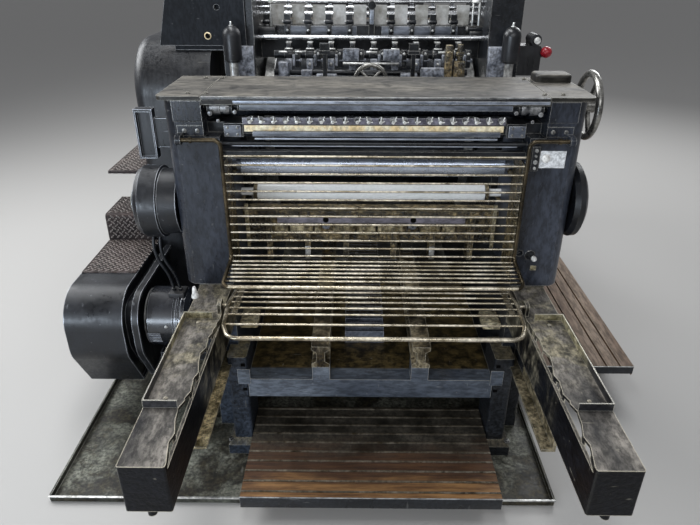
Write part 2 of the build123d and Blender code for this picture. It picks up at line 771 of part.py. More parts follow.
# delivery and feeder
def feed_board():
    """Sloping feed table from the feeder down to the cylinder."""
    back = feeder_front + 100
    board = side_plate([(1175, 1382), (back, 1290), (back, 1268), (1175, 1360)],
                       (-frame_inner + 15, frame_inner - 15))
    for side in (-1, 1):
        low, high = sorted((side * (frame_inner - 15), side * frame_inner))
        board += block((low, high), (1190, 1230), (1340, 1374))
    return board


def delivery_table():
    table = block((-440, 440), (feeder_front - 220, feeder_front - 20), (760, 784))
    for side in (-1, 1):
        low, high = sorted((side * 440, side * frame_inner))
        table += block((low, high), (feeder_front - 140, feeder_front - 90), (740, 790))
    return table


def feeder_side():
    """Right hand feeder cheek, standing on the pan."""
    outline = [(feeder_front, portal_bottom), (feeder_front, 1268), (feeder_front + 40, 1330),
               (feeder_front + 320, 1330), (feeder_back, 1180),
               (feeder_back, 300), (feeder_back - 60, 240), (wall_back + 20, 240),
               (wall_back + 2, portal_bottom)]
    cheek = side_plate(outline, (frame_inner, frame_outer - 25))
    pocket = block((frame_outer - 45, frame_outer), (wall_back + 40, feeder_back - 51), (420, 1080))
    pocket = fillet(pocket.edges().filter_by(Axis.X), 30)
    post = block((frame_inner, frame_outer - 25), (wall_back + 20, feeder_back), (0, 241))
    post -= block((frame_inner - 1, frame_outer), (wall_back + 19, pan_back + 2), (-1, pan_rim + 2))
    return cheek - pocket + post


def feeder_head():
    """Suction head over the pile, hung on two cross bars between the cheeks."""
    head = block((-330, 330), (feeder_front + 150, feeder_front + 250), (1392, 1470))
    head = fillet(head.edges().filter_by(Axis.X).group_by(Axis.Z)[-1], 20)
    for x in (-260, -90, 90, 260):
        head += bar_z(x, feeder_front + 170, (1330, 1393), 15)
        head += bar_z(x, feeder_front + 170, (1316, 1334), 22)
    for y in (feeder_front + 120, feeder_front + 280):
        head += bar_x((-frame_inner, frame_inner), y, 1310, 14)
    for side in (-1, 1):
        x = side * 300
        head += block((x - 14, x + 14), (feeder_front + 110, feeder_front + 290), (1300, 1322))
        head += block((x - 14, x + 14), (feeder_front + 160, feeder_front + 240), (1320, 1393))
    return head


def pile_table():
    table = block((-400, 400), (feeder_front + 20, feeder_back - 21), (430, 462))
    for side in (-1, 1):
        for y in (wall_back + 60, feeder_back - 60):
            low, high = sorted((side * 400, side * frame_inner))
            table += block((low, high), (y - 15, y + 15), (420, 450))
    return table


# steps
def front_step():
    """Wooden step in front of the bed, on bearers that stand in the pan."""
    deck = block((deck_left, deck_right), (deck_front, deck_back), (deck_top - 22, deck_top))
    rail = block((deck_left, deck_right), (deck_front, deck_front + 20), (deck_top - deck_edge, deck_top - 21))
    step = deck + rail
    for x in (deck_left + 20, (deck_left + deck_right) / 2 - 20, deck_right - 60):
        step += block((x, x + 40), (deck_front + 19, pan_front + 11), (deck_top - deck_edge, deck_top - 21))
        step += block((x, x + 40), (pan_front + 10, deck_back), (pan_sheet, deck_top - 21))
    return step


def step_strips():
    strips = []
    for number in range(strip_count):
        y = 37 - number * strip_pitch
        strips.append(block((deck_left, deck_right), (y - 3, y + 3), (deck_top, deck_top + 3)))
    return group(*strips)


def side_footboard():
    """Long wooden footboard on the operator side, hooked to the bed wall."""
    span = half_width - board_edge - board_inner
    width = (span - board_gap * (board_count - 1)) / board_count
    frame = block((half_width - board_edge, half_width), (board_front, board_back), (board_top - 46, board_top))
    for number in range(board_count):
        x = board_inner + number * (width + board_gap)
        frame += block((x, x + width), (board_front, board_back), (board_top - 26, board_top))
    for y in (board_front + 200, (board_front + board_back) / 2, board_back - 240):
        frame += block((board_inner, half_width - 2), (y, y + 40), (board_top - 62, board_top - 25))
        frame += block((wall_outer, board_inner + 1), (y, y + 40), (board_top - 62, board_top + 20))
        frame += block((half_width - 60, half_width - 20), (y, y + 40), (0, board_top - 61))
        frame += block((board_inner + 30, board_inner + 70), (y, y + 40), (0, board_top - 61))
    return frame


# assembly
wall_right = bed_side()
arm_right = run_out_arm()
tray_right = arm_tray()
rail_right = inner_rail()
cheek_right = feeder_side()
pieces = {
    "drip_pan": drip_pan(),
    "bed_side_left": other_side(wall_right),
    "bed_side_right": wall_right,
    "front_crossbeam": front_beam(),
    "middle_crossbeam": cross_beam(middle_beam),
    "rear_crossbeam": cross_beam(rail_back - beam_depth - 20),
    "inner_rails": group(other_side(rail_right), rail_right),
    "bed_rack": bed_rack(),
    "type_bed": type_bed(),
    "arm_left": other_side(arm_right),
    "arm_right": arm_right,
    "arm_trays": group(other_side(tray_right), tray_right),
    "column_left": column_left(),
    "column_right": column_right(),
    "top_cover": top_cover(),
    "ink_fountain": fountain_body(),
    "fountain_strip": fountain_strip(),
    "ink_keys": ink_keys(),
    "fountain_roller": roller(roller_places["fountain_roller"], 24, 440),
    "steel_roller": roller(roller_places["steel_roller"], 40, 440),
    "white_roller": roller(roller_places["white_roller"], 31, 410),
    "cross_plate": cross_plate(),
    "upper_guard": upper_guard(),
    "lower_guard": lower_guard(),
    "side_handwheel": side_handwheel(),
    "small_handwheel": small_handwheel(),
    "tie_beam": tie_beam(),
    "round_cover_left": round_cover_left(),
    "round_cover_right": round_cover_right(),
    "drive_side_box": drive_side_box(),
    "control_head": control_head(),
    "control_lever": control_lever(),
    "motor": motor(),
    "belt_guard": belt_guard(),
    "chequer_steps": group(lower_chequer_step(), upper_chequer_step()),
    "drive_side_ledge": drive_side_ledge(),
    "drive_cover": drive_cover(),
    "upper_panel": upper_panel(),
    "side_frame_left": side_frame_left(),
    "side_frame_right": side_frame_right(),
    "impression_cylinder": impression_cylinder(),
    "gripper_rail": gripper_rail(),
    "cross_rods": cross_rods(),
    "spring_housings": spring_housings(),
    "feed_board": feed_board(),
    "delivery_table": delivery_table(),
    "feeder_sides": group(other_side(cheek_right), cheek_right),
    "feeder_head": feeder_head(),
    "pile_table": pile_table(),
    "front_step": front_step(),
    "step_strips": step_strips(),
    "side_footboard": side_footboard(),
}

os.makedirs("parts", exist_ok=True)
to_origin = Pos(0, -(arm_front + feeder_back) / 2, 0)
for name, piece in pieces.items():
    export_step(to_origin * piece, f"parts/{name}.step")
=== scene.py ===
import math

import bpy
from mathutils import Matrix, Vector


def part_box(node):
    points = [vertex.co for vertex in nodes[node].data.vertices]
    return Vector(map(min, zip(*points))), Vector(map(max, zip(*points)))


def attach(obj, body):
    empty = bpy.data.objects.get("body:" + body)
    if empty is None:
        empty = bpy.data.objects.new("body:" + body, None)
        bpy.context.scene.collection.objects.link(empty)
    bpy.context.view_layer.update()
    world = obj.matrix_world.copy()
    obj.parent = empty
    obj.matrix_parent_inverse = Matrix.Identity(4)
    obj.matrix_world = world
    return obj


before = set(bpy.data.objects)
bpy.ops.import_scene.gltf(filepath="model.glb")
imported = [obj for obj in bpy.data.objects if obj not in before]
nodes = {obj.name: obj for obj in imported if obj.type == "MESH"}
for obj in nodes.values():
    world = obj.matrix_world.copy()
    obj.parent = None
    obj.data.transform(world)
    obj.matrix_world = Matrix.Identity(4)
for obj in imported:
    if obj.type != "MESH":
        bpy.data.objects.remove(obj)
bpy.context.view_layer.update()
bpy.context.scene.view_settings.view_transform = "Standard"


# Drip pan. A shallow steel tray under the whole press that catches oil. It is folded from
# sheet with a hem and a lip round its rim, bright in front, and its floor is mottled with oil.
def feed(tree, value, socket):
    """Gives a socket a number, a vector or a colour, or links another socket to it."""
    if isinstance(value, bpy.types.NodeSocket):
        tree.links.new(value, socket)
    elif socket.type == "RGBA":
        socket.default_value = (*value, 1.0)
    else:
        socket.default_value = value


def node_group(name, inputs, *outputs):
    """Empty shader group, with the sockets of its given values and of its results."""
    group = bpy.data.node_groups.new(name, "ShaderNodeTree")
    for label, value in inputs.items():
        kind = "NodeSocketVector" if isinstance(value, tuple) else "NodeSocketFloat"
        group.interface.new_socket(label, in_out="INPUT", socket_type=kind).default_value = value
    for label in outputs:
        group.interface.new_socket(label, in_out="OUTPUT", socket_type="NodeSocketFloat")
    return group, group.nodes.new("NodeGroupInput").outputs, group.nodes.new("NodeGroupOutput").inputs


def maths(tree, operation, first, second=None):
    """Math node on sockets or plain numbers. Returns its value."""
    node = tree.nodes.new("ShaderNodeMath")
    node.operation = operation
    node.use_clamp = operation in {"ADD", "MULTIPLY", "SUBTRACT"}
    feed(tree, first, node.inputs[0])
    if second is not None:
        feed(tree, second, node.inputs[1])
    return node.outputs[0]


def dot_product(tree, first, second):
    node = tree.nodes.new("ShaderNodeVectorMath")
    node.operation = "DOT_PRODUCT"
    feed(tree, first, node.inputs[0])
    feed(tree, second, node.inputs[1])
    return node.outputs["Value"]


def remap(tree, value, low, high, to_low=0.0, to_high=1.0):
    """Map Range node, smooth between the two ends."""
    node = tree.nodes.new("ShaderNodeMapRange")
    node.interpolation_type = "SMOOTHSTEP"
    for label, part in (("Value", value), ("From Min", low), ("From Max", high), ("To Min", to_low),
                        ("To Max", to_high)):
        feed(tree, part, node.inputs[label])
    return node.outputs["Result"]


def noise(tree, vector, scale, detail=4.0, roughness=0.55, distortion=0.0):
    """Noise Texture node on a vector. Returns its value."""
    node = tree.nodes.new("ShaderNodeTexNoise")
    for label, part in (("Vector", vector), ("Scale", scale), ("Detail", detail), ("Roughness", roughness),
                        ("Distortion", distortion)):
        feed(tree, part, node.inputs[label])
    return node.outputs["Fac"]


def object_place(tree, stretch=(1, 1, 1)):
    """Object coordinates, stretched along the three axes."""
    mapping = tree.nodes.new("ShaderNodeMapping")
    mapping.inputs["Scale"].default_value = stretch
    tree.links.new(tree.nodes.new("ShaderNodeTexCoord").outputs["Object"], mapping.inputs["Vector"])
    return mapping.outputs["Vector"]


def around(tree, value, threshold, below, above):
    """Mask that grows from a little below a threshold to a little above it."""
    return remap(tree, value, maths(tree, "SUBTRACT", threshold, below),
                 maths(tree, "ADD", threshold, above))


def make_rubbed_edges():
    """Mask of the outer edges where paint is rubbed through, broken up by noise."""
    group, given, result = node_group("rubbed edges", dict(Width=0.004, Amount=0.5, Breaks=30.0), "Mask")
    bevel = group.nodes.new("ShaderNodeBevel")
    bevel.samples = 4
    feed(group, given["Width"], bevel.inputs["Radius"])
    surface = group.nodes.new("ShaderNodeNewGeometry")
    turn = remap(group, dot_product(group, bevel.outputs["Normal"], surface.outputs["Normal"]), 0.995, 0.86)
    breaks = noise(group, object_place(group), given["Breaks"], 5.0, 0.65)
    broken = around(group, breaks, maths(group, "SUBTRACT", 1.0, given["Amount"]), 0.12, 0.12)
    feed(group, maths(group, "MULTIPLY", turn, broken), result["Mask"])
    return group


def make_settled_dust():
    """Mask of dust and grease on what faces up, patchy at two scales."""
    group, given, result = node_group("settled dust", dict(Amount=0.5, Patches=6.0, Grains=160.0), "Mask")
    surface = group.nodes.new("ShaderNodeNewGeometry")
    upward = remap(group, dot_product(group, surface.outputs["Normal"], (0, 0, 1)), 0.35, 0.95)
    patches = noise(group, object_place(group), given["Patches"], 6.0, 0.6)
    grains = noise(group, object_place(group), given["Grains"], 2.0, 0.5)
    both = maths(group, "ADD", maths(group, "MULTIPLY", patches, 0.7), maths(group, "MULTIPLY", grains, 0.3))
    lying = around(group, both, maths(group, "SUBTRACT", 0.95, given["Amount"]), 0.16, 0.12)
    feed(group, maths(group, "MULTIPLY", upward, lying), result["Mask"])
    return group


def make_patchiness():
    """Slow colour change of old paint, on the columns a painted sheen, drawn out one way, with a mottle,
    specks and scratches.
    """
    group, given, result = node_group(
        "patchiness", dict(Patches=5.0, Scratches=55.0, Stretch=(1, 1, 1), Mottles=85.0),
        "Cloud", "Scratch", "Grain", "Mottle", "Specks")
    place = object_place(group)
    drawn = group.nodes.new("ShaderNodeVectorMath")
    drawn.operation = "MULTIPLY"
    feed(group, place, drawn.inputs[0])
    feed(group, given["Stretch"], drawn.inputs[1])
    drawn = drawn.outputs["Vector"]
    clouds = noise(group, drawn, given["Patches"], 6.0, 0.6)
    mottle = noise(group, drawn, given["Mottles"], 4.0, 0.7)
    scratches = None
    for stretch in ((0.2, 1.0, 1.0), (1.0, 0.25, 1.0), (1.0, 1.0, 0.15)):
        line = remap(group, noise(group, object_place(group, stretch), given["Scratches"], 3.0, 0.6),
                     0.69, 0.73)
        scratches = line if scratches is None else maths(group, "ADD", scratches, line)
    feed(group, remap(group, clouds, 0.3, 0.72), result["Cloud"])
    feed(group, remap(group, mottle, 0.28, 0.72), result["Mottle"])
    feed(group, remap(group, noise(group, place, 125.0, 2.0, 0.6), 0.67, 0.74), result["Specks"])
    feed(group, scratches, result["Scratch"])
    feed(group, noise(group, place, 420.0, 2.0, 0.5), result["Grain"])
    return group


def make_old_grease():
    """Mask of grease films and runs on any face, between two values along one axis."""
    group, given, result = node_group(
        "old grease", dict(Along=(0, 0, 1), From=-9.0, To=-8.0, Cover=0.5, Patches=7.0), "Mask", "Tone")
    place = object_place(group)
    reach = remap(group, dot_product(group, place, given["Along"]), given["From"], given["To"])
    runs = noise(group, object_place(group, (1.0, 1.0, 0.35)), given["Patches"], 7.0, 0.65, 0.6)
    film = around(group, runs, maths(group, "SUBTRACT", 1.0, given["Cover"]), 0.09, 0.09)
    feed(group, maths(group, "MULTIPLY", reach, film), result["Mask"])
    feed(group, remap(group, noise(group, place, 26.0, 5.0, 0.7), 0.35, 0.68), result["Tone"])
    return group


rubbed_edges = make_rubbed_edges()
settled_dust = make_settled_dust()
patchiness = make_patchiness()
old_grease = make_old_grease()


def blend_colour(tree, mask, under, over):
    """Mix node for colours: over where the mask is 1. Each is a socket or an RGB triple."""
    node = tree.nodes.new("ShaderNodeMix")
    node.data_type = "RGBA"
    feed(tree, mask, node.inputs["Factor"])
    for label, value in (("A", under), ("B", over)):
        feed(tree, value, [each for each in node.inputs if each.name == label and each.type == "RGBA"][0])
    return [each for each in node.outputs if each.type == "RGBA"][0]


def place_group(tree, group, **values):
    """Puts a shader group into a material with values of its own. Returns what it gives."""
    node = tree.nodes.new("ShaderNodeGroup")
    node.node_tree = group
    for label, value in values.items():
        node.inputs[label].default_value = value
    return node.outputs


def old_finish(name, coat, faded_and_sheen, bare, grime, gloss=0.35, wear=0.5, edge=0.003, dust=0.4, patches=5.0,
               scratches=0.15, metal=0.0, dust_patches=6.0, shine=0.28, stretch=(1, 1, 1), mottle=0.35,
               specks=0.25, grease=None, cover=0.5, along=(0, 0, 1), start=-9.0, end=-8.0,
               grease_patches=7.0, lumps=0.0):
    """Painted or plain metal that has aged: patches paled with age, scratches, rubbed edges, dust and
    grease.

    coat is the colour of the surface and the next one the colour of its patches: paint paled with age, and
    on the columns a painted sheen. bare shows at edges and scratches, grime, one colour or a pair, lies on
    what faces up, and grease, a pair, beyond start along an axis.
    """
    material = bpy.data.materials.new(name)
    material.use_nodes = True
    tree = material.node_tree
    shader = tree.nodes["Principled BSDF"].inputs
    shader["Specular IOR Level"].default_value = shine
    patch = place_group(tree, patchiness, Patches=patches, Scratches=55.0, Stretch=stretch)
    edges = place_group(tree, rubbed_edges, Width=edge, Amount=wear, Breaks=28.0)
    dirt = place_group(tree, settled_dust, Amount=dust, Patches=dust_patches, Grains=160.0)
    scratch = maths(tree, "MULTIPLY", patch["Scratch"], scratches)
    rubbed = maths(tree, "ADD", scratch, edges["Mask"])
    colour = blend_colour(tree, patch["Cloud"], coat, faded_and_sheen)
    if isinstance(grime[0], tuple):
        grime = blend_colour(tree, patch["Cloud"], *grime)
    colour = blend_colour(tree, dirt["Mask"], colour, grime)
    if grease:
        film = place_group(tree, old_grease, Along=along, From=start, To=end, Cover=cover,
                           Patches=grease_patches)
        colour = blend_colour(tree, film["Mask"], colour, blend_colour(tree, film["Tone"], *grease))
    uneven = tree.nodes.new("ShaderNodeVectorMath")
    uneven.operation = "SCALE"
    feed(tree, colour, uneven.inputs[0])
    feed(tree, remap(tree, patch["Mottle"], 0.0, 1.0, 1.0 - mottle, 1.0 + mottle), uneven.inputs["Scale"])
    dark_specks = maths(tree, "MULTIPLY", patch["Specks"], specks)
    colour = blend_colour(tree, dark_specks, uneven.outputs["Vector"], (0.004, 0.004, 0.004))
    feed(tree, blend_colour(tree, rubbed, colour, bare), shader["Base Color"])
    roughness = remap(tree, patch["Cloud"], 0.0, 1.0, gloss, gloss + 0.16)
    dull = maths(tree, "MULTIPLY", dirt["Mask"], 0.25)
    feed(tree, maths(tree, "ADD", roughness, dull), shader["Roughness"])
    feed(tree, metal if metal > 0 else maths(tree, "MULTIPLY", rubbed, 0.6), shader["Metallic"])
    height = tree.nodes.new("ShaderNodeBump")
    height.inputs["Strength"].default_value = 0.15
    height.inputs["Distance"].default_value = 0.0006
    feed(tree, maths(tree, "SUBTRACT", patch["Grain"], scratch), height.inputs["Height"])
    if lumps > 0:
        lumpy = tree.nodes.new("ShaderNodeBump")
        lumpy.inputs["Distance"].default_value = lumps
        feed(tree, patch["Mottle"], lumpy.inputs["Height"])
        feed(tree, lumpy.outputs["Normal"], height.inputs["Normal"])
    feed(tree, height.outputs["Normal"], shader["Normal"])
    return material


def finish_nodes(material, *names):
    """Gives CAD nodes a material in every slot."""
    for name in names:
        mesh = nodes[name].data
        if not mesh.materials:
            mesh.materials.append(material)
        for place in range(len(mesh.materials)):
            mesh.materials[place] = material


ink_unit_front = -0.781


def spot(x, y, z):
    """A place whose y is counted from the front face of the ink unit."""
    return Vector((x, y + ink_unit_front, z))


def deselect():
    bpy.ops.object.select_all(action="DESELECT")


def settle():
    """Puts an object's size, turn and place into its mesh."""
    bpy.ops.object.transform_apply(location=True, rotation=True, scale=True)


def rounded(round_off, steps=2, sharper_than=50):
    """Settles the new part and rounds its sharp edges."""
    settle()
    bpy.ops.object.mode_set(mode="EDIT")
    bpy.ops.mesh.select_mode(type="EDGE")
    bpy.ops.mesh.select_all(action="DESELECT")
    bpy.ops.mesh.edges_select_sharp(sharpness=math.radians(sharper_than))
    bpy.ops.mesh.bevel(offset=round_off, segments=steps, affect="EDGES", clamp_overlap=True)
    bpy.ops.object.mode_set(mode="OBJECT")
    return bpy.context.object


def joined(parts):
    """Makes one object of some parts."""
    deselect()
    for part in parts:
        part.select_set(True)
    bpy.context.view_layer.objects.active = parts[0]
    if len(parts) > 1:
        bpy.ops.object.join()
    return bpy.context.object


def finished(name, parts, material, body="machine", smooth=40):
    """Joins parts to one named piece with its finish, riding on a body."""
    piece = joined(parts)
    settle()
    bpy.ops.object.shade_smooth_by_angle(angle=math.radians(smooth))
    piece.name = name
    piece.data.name = name
    piece.data.materials.clear()
    piece.data.materials.append(material)
    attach(piece, body)


def block(low, high, round_off=0.002, steps=2):
    """Block between two corners, its edges rounded."""
    deselect()
    low, high = spot(*low), spot(*high)
    bpy.ops.mesh.primitive_cube_add(size=1, location=(low + high) / 2, scale=high - low)
    return rounded(round_off, steps)


pan_steel = old_finish(
    "pan steel", coat=(0.020, 0.021, 0.017), faded_and_sheen=(0.085, 0.088, 0.07), bare=(0.55, 0.54, 0.5),
    grime=((0.06, 0.06, 0.045), (0.20, 0.205, 0.17)), gloss=0.34, wear=0.7, edge=0.004, dust=0.52,
    patches=7.0, dust_patches=13.0, shine=0.4, mottle=0.6, specks=0.8, cover=0.5, start=-1.0, end=-0.9,
    grease_patches=6.0, grease=((0.008, 0.0075, 0.005), (0.045, 0.038, 0.022)))
worn_steel = old_finish(
    "worn bright steel", coat=(0.36, 0.36, 0.35), faded_and_sheen=(0.6, 0.6, 0.58), bare=(0.75, 0.75, 0.73),
    grime=(0.2, 0.18, 0.14), gloss=0.3, wear=0.5, dust=0.3, metal=0.75, patches=22.0, shine=0.5)
finish_nodes(pan_steel, "drip_pan")
front_lip = [block((low, -0.334, 0.022), (high, -0.325, 0.0265))
             for low, high in ((-1.104, -0.428), (0.428, 0.634))]
finished("pan_front_lip", front_lip, worn_steel)
side_lips = [block((x - 0.004, -0.326, 0.022), (x + 0.004, 2.297, 0.0265)) for x in (-1.100, 0.630)]
side_lips.append(block((-1.104, 2.295, 0.022), (0.634, 2.304, 0.0265)))
finished("pan_side_lips", side_lips, pan_steel)
deselect()
pan_low, pan_high = (Vector(corner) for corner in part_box("drip_pan"))
pan_middle, pan_size, hem_high, hem_wide = (pan_low + pan_high) / 2, pan_high - pan_low, 0.003, 0.008
bpy.ops.mesh.primitive_plane_add(size=1, location=(pan_middle.x, pan_middle.y, pan_high.z - hem_high),
                                 scale=(pan_size.x, pan_size.y, 1))
settle()
bpy.ops.object.mode_set(mode="EDIT")
bpy.ops.mesh.inset(thickness=hem_wide, depth=0)
bpy.ops.mesh.delete(type="FACE")
bpy.ops.mesh.select_all(action="SELECT")
bpy.ops.mesh.extrude_region_move(TRANSFORM_OT_translate={"value": (0, 0, hem_high)})
bpy.ops.mesh.select_all(action="SELECT")
bpy.ops.mesh.normals_make_consistent(inside=False)
bpy.ops.object.mode_set(mode="OBJECT")
finished("pan_hem", [rounded(0.001)], worn_steel)


# Base frame. Iron castings painted black: two bed walls with their front legs and crossbeams
# between them, bolted together and standing in the pan. Oil keeps them dark and greasy inside.
def both_sides(near, far, low, high, round_off=0.002, steps=2):
    """A block to each side of the middle, between two distances and two (y, z) corners."""
    return [block((left, *low), (right, *high), round_off, steps)
            for left, right in ((-far, -near), (near, far))]


def rod(start, end, radius, round_off=0.001, sides=24):
    """Round or six sided bar between two places with chamfered ends."""
    deselect()
    start, end = spot(*start), spot(*end)
    along = end - start
    bpy.ops.mesh.primitive_cylinder_add(vertices=sides, radius=radius, depth=along.length,
                                        location=(start + end) / 2,
                                        rotation=along.to_track_quat("Z", "Y").to_euler())
    return rounded(round_off, sharper_than=65 if sides == 6 else 50)


def copied(part, shift):
    """Copy of a part with its own mesh, moved by a shift."""
    joined([part])
    bpy.ops.object.duplicate(linked=False)
    copy = bpy.context.object
    copy.location = Vector(copy.location) + Vector(shift)
    settle()
    return copy


def bolts(name, places, facing, across, material):
    """Hexagon bolt heads on washers, all facing one way, at places on a surface."""
    first = Vector(places[0])
    out = Vector(facing)
    washer = rod(first - out * 0.001, first + out * 0.002, across * 0.68, 0.0005)
    head = rod(first + out * 0.0015, first + out * across * 0.5, across * 0.55, 0.0008, 6)
    point = rod(first + out * across * 0.45, first + out * across * 0.56, across * 0.3, 0.0008, 12)
    one = joined([washer, head, point])
    rest = [copied(one, Vector(place) - first) for place in places[1:]]
    finished(name, [one] + rest, material)


def side_bolts(name, reach, places, across):
    """Bolts on both outer sides, as a left and a right piece."""
    for side, end in ((-1, "_left"), (1, "_right")):
        bolts(name + end, [(side * reach, *place) for place in places], (side, 0, 0), across, blue_black)


blue_black = old_finish(
    "blue black enamel", coat=(0.005, 0.0058, 0.0075), faded_and_sheen=(0.016, 0.018, 0.022), bare=(0.45, 0.44, 0.41),
    grime=(0.045, 0.040, 0.030), gloss=0.24, wear=0.6, dust=0.3, mottle=0.45, shine=0.45)
beam_enamel = old_finish(
    "beam enamel", coat=(0.045, 0.054, 0.070), faded_and_sheen=(0.150, 0.172, 0.205), bare=(0.6, 0.58, 0.53),
    grime=(0.05, 0.045, 0.033), gloss=0.3, wear=0.75, dust=0.3, stretch=(0.3, 1, 1), cover=0.75,
    grease=((0.012, 0.009, 0.004), (0.10, 0.072, 0.028)), along=(0, 1, 0), start=-0.80, end=-0.79)
oily_casting = old_finish(
    "oily casting", coat=(0.006, 0.0055, 0.004), faded_and_sheen=(0.028, 0.023, 0.014), bare=(0.3, 0.27, 0.2),
    grime=(0.07, 0.050, 0.020), gloss=0.2, wear=0.5, dust=0.4, mottle=0.7, cover=0.45, shine=0.6,
    lumps=0.002, grease=((0.040, 0.024, 0.007), (0.26, 0.175, 0.06)))
wall_looks = dict(bare=(0.42, 0.40, 0.34), gloss=0.32, wear=0.6, dust=0.5, dust_patches=12.0, mottle=0.6,
                  along=(0, -1, 0), start=0.890, end=0.910, grease_patches=12.0, lumps=0.001)
drive_wall = old_finish(
    "drive side bed wall", coat=(0.010, 0.013, 0.019), faded_and_sheen=(0.042, 0.052, 0.070),
    grime=(0.12, 0.10, 0.055), grease=((0.16, 0.125, 0.06), (0.86, 0.72, 0.44)), cover=0.92, **wall_looks)
operator_wall = old_finish(
    "operator side bed wall", coat=(0.007, 0.008, 0.010), faded_and_sheen=(0.028, 0.030, 0.034),
    grime=(0.09, 0.075, 0.045), grease=((0.045, 0.036, 0.018), (0.30, 0.25, 0.16)), cover=0.75,
    **wall_looks)
# Painted shade: a near black finish for thin slots and discs that stand in for the shade inside holes.
painted_hole_shade = old_finish(
    "painted hole shade", coat=(0.002, 0.002, 0.002), faded_and_sheen=(0.004, 0.004, 0.004), bare=(0.02, 0.02, 0.02),
    grime=(0.01, 0.01, 0.01), gloss=0.7, wear=0.1, dust=0.1, shine=0.05)
finish_nodes(beam_enamel, "front_crossbeam")
finish_nodes(drive_wall, "bed_side_left")
finish_nodes(operator_wall, "bed_side_right")
finish_nodes(oily_casting, "middle_crossbeam", "rear_crossbeam", "type_bed")
# Painted shade: near black slots on the legs' fronts for the shade inside their holes.
leg_hole_shades = [hole for z in (0.399, 0.292)
             for hole in both_sides(0.440, 0.455, (-0.0812, z - 0.0065), (-0.0775, z + 0.0065), 0.001)]
finished("leg_hole_shades", leg_hole_shades, painted_hole_shade)
finished("leg_worn_faces", both_sides(0.425, 0.470, (-0.0806, 0.315), (-0.078, 0.380), 0.001), beam_enamel)
bolts("foot_bolts", [(side * x, -0.09, 0.0625) for side in (-1, 1) for x in (0.422, 0.515)],
      (0, 0, 1), 0.016, blue_black)
side_bolts("wall_bolts", 0.5855, [(y, z) for y in (0.30, 0.352) for z in (0.23, 0.42, 0.6)], 0.022)


# Bed rails and rack. Ground steel tracks that the type bed runs on, and the toothed rack that
# drives it. Oil and old grease have turned the tracks yellow, and the rack stays blue.
rail_steel = old_finish(
    "rail steel", coat=(0.11, 0.088, 0.050), faded_and_sheen=(0.60, 0.52, 0.36), bare=(0.7, 0.64, 0.5),
    grime=((0.08, 0.06, 0.03), (0.55, 0.46, 0.3)), gloss=0.24, wear=0.6, dust=0.7, metal=0.35, patches=9.0,
    shine=0.5, mottle=0.6, specks=0.8, lumps=0.001, cover=0.5, grease_patches=8.0,
    grease=((0.012, 0.009, 0.005), (0.07, 0.05, 0.022)))
rack_steel = old_finish(
    "rack steel", coat=(0.035, 0.040, 0.055), faded_and_sheen=(0.16, 0.18, 0.23), bare=(0.6, 0.62, 0.68),
    grime=(0.09, 0.09, 0.10), gloss=0.22, wear=0.9, edge=0.003, dust=0.3, metal=0.5, shine=0.5, cover=0.95,
    grease=((0.008, 0.007, 0.006), (0.075, 0.058, 0.03)), along=(0, 1, 0), start=-0.49, end=-0.47,
    grease_patches=12.0)
finish_nodes(rail_steel, "inner_rails")
finish_nodes(rack_steel, "bed_rack")
bolts("rail_bolts", [(side * x, y, 0.4145) for side in (-1, 1) for x in (0.151, 0.197)
                     for y in (-0.06, 0.2, 0.46)],
      (0, 0, 1), 0.011, oily_casting)


# Run-out arms and their trays. Cast channels bolted to the ink unit, worn pale along every
# edge and streaked on top, with folded sheet trays screwed on for tools.
def turned(start, direction, profile, sides=32):
    """Turned part: rings at (distance, radius) along a direction from its start."""
    deselect()
    bpy.ops.mesh.primitive_circle_add(vertices=sides, radius=profile[0][1], fill_type="NGON")
    bpy.ops.object.mode_set(mode="EDIT")
    for (near, radius), (far, next_radius) in zip(profile, profile[1:]):
        bpy.ops.mesh.extrude_region_move(TRANSFORM_OT_translate={"value": (0, 0, far - near)})
        share = next_radius / radius
        bpy.ops.transform.resize(value=(share, share, 1), center_override=(0, 0, far - profile[0][0]))
    bpy.ops.mesh.select_all(action="SELECT")
    bpy.ops.mesh.normals_make_consistent(inside=False)
    bpy.ops.object.mode_set(mode="OBJECT")
    part = bpy.context.object
    direction = Vector(direction).normalized()
    part.location = spot(*start) + direction * profile[0][0]
    part.rotation_euler = direction.to_track_quat("Z", "Y").to_euler()
    settle()
    return part


arm_enamel = old_finish(
    "arm enamel", coat=(0.0022, 0.0024, 0.0034), faded_and_sheen=(0.0055, 0.0058, 0.0078), bare=(0.62, 0.57, 0.46),
    grime=((0.010, 0.010, 0.011), (0.23, 0.21, 0.185)), gloss=0.3, wear=0.75, edge=0.004, dust=0.72,
    dust_patches=9.0, patches=10.0, shine=0.18, mottle=0.5, specks=0.6, stretch=(1, 0.45, 1), cover=0.50,
    grease=((0.035, 0.032, 0.024), (0.27, 0.24, 0.17)), along=(0, 1, 0), start=-1.36, end=-1.16,
    grease_patches=11.0, lumps=0.0006)
tray_enamel = old_finish(
    "tray enamel", coat=(0.014, 0.014, 0.016), faded_and_sheen=(0.045, 0.044, 0.046), bare=(0.66, 0.63, 0.54),
    grime=(0.085, 0.088, 0.095), gloss=0.3, wear=0.75, edge=0.003, dust=0.5, dust_patches=12.0, shine=0.35,
    mottle=0.5, grease=((0.10, 0.086, 0.045), (0.44, 0.39, 0.25)), cover=0.72, stretch=(1, 0.45, 1),
    along=(0, 1, 0), start=-1.26, end=-1.14, grease_patches=12.0)
white_knob = old_finish(
    "white knob", coat=(0.62, 0.61, 0.58), faded_and_sheen=(0.8, 0.79, 0.76), bare=(0.85, 0.84, 0.8),
    grime=(0.4, 0.37, 0.3), gloss=0.35, wear=0.2, dust=0.2, patches=30.0, shine=0.5)
finish_nodes(arm_enamel, "arm_left", "arm_right")
finish_nodes(tray_enamel, "arm_trays")
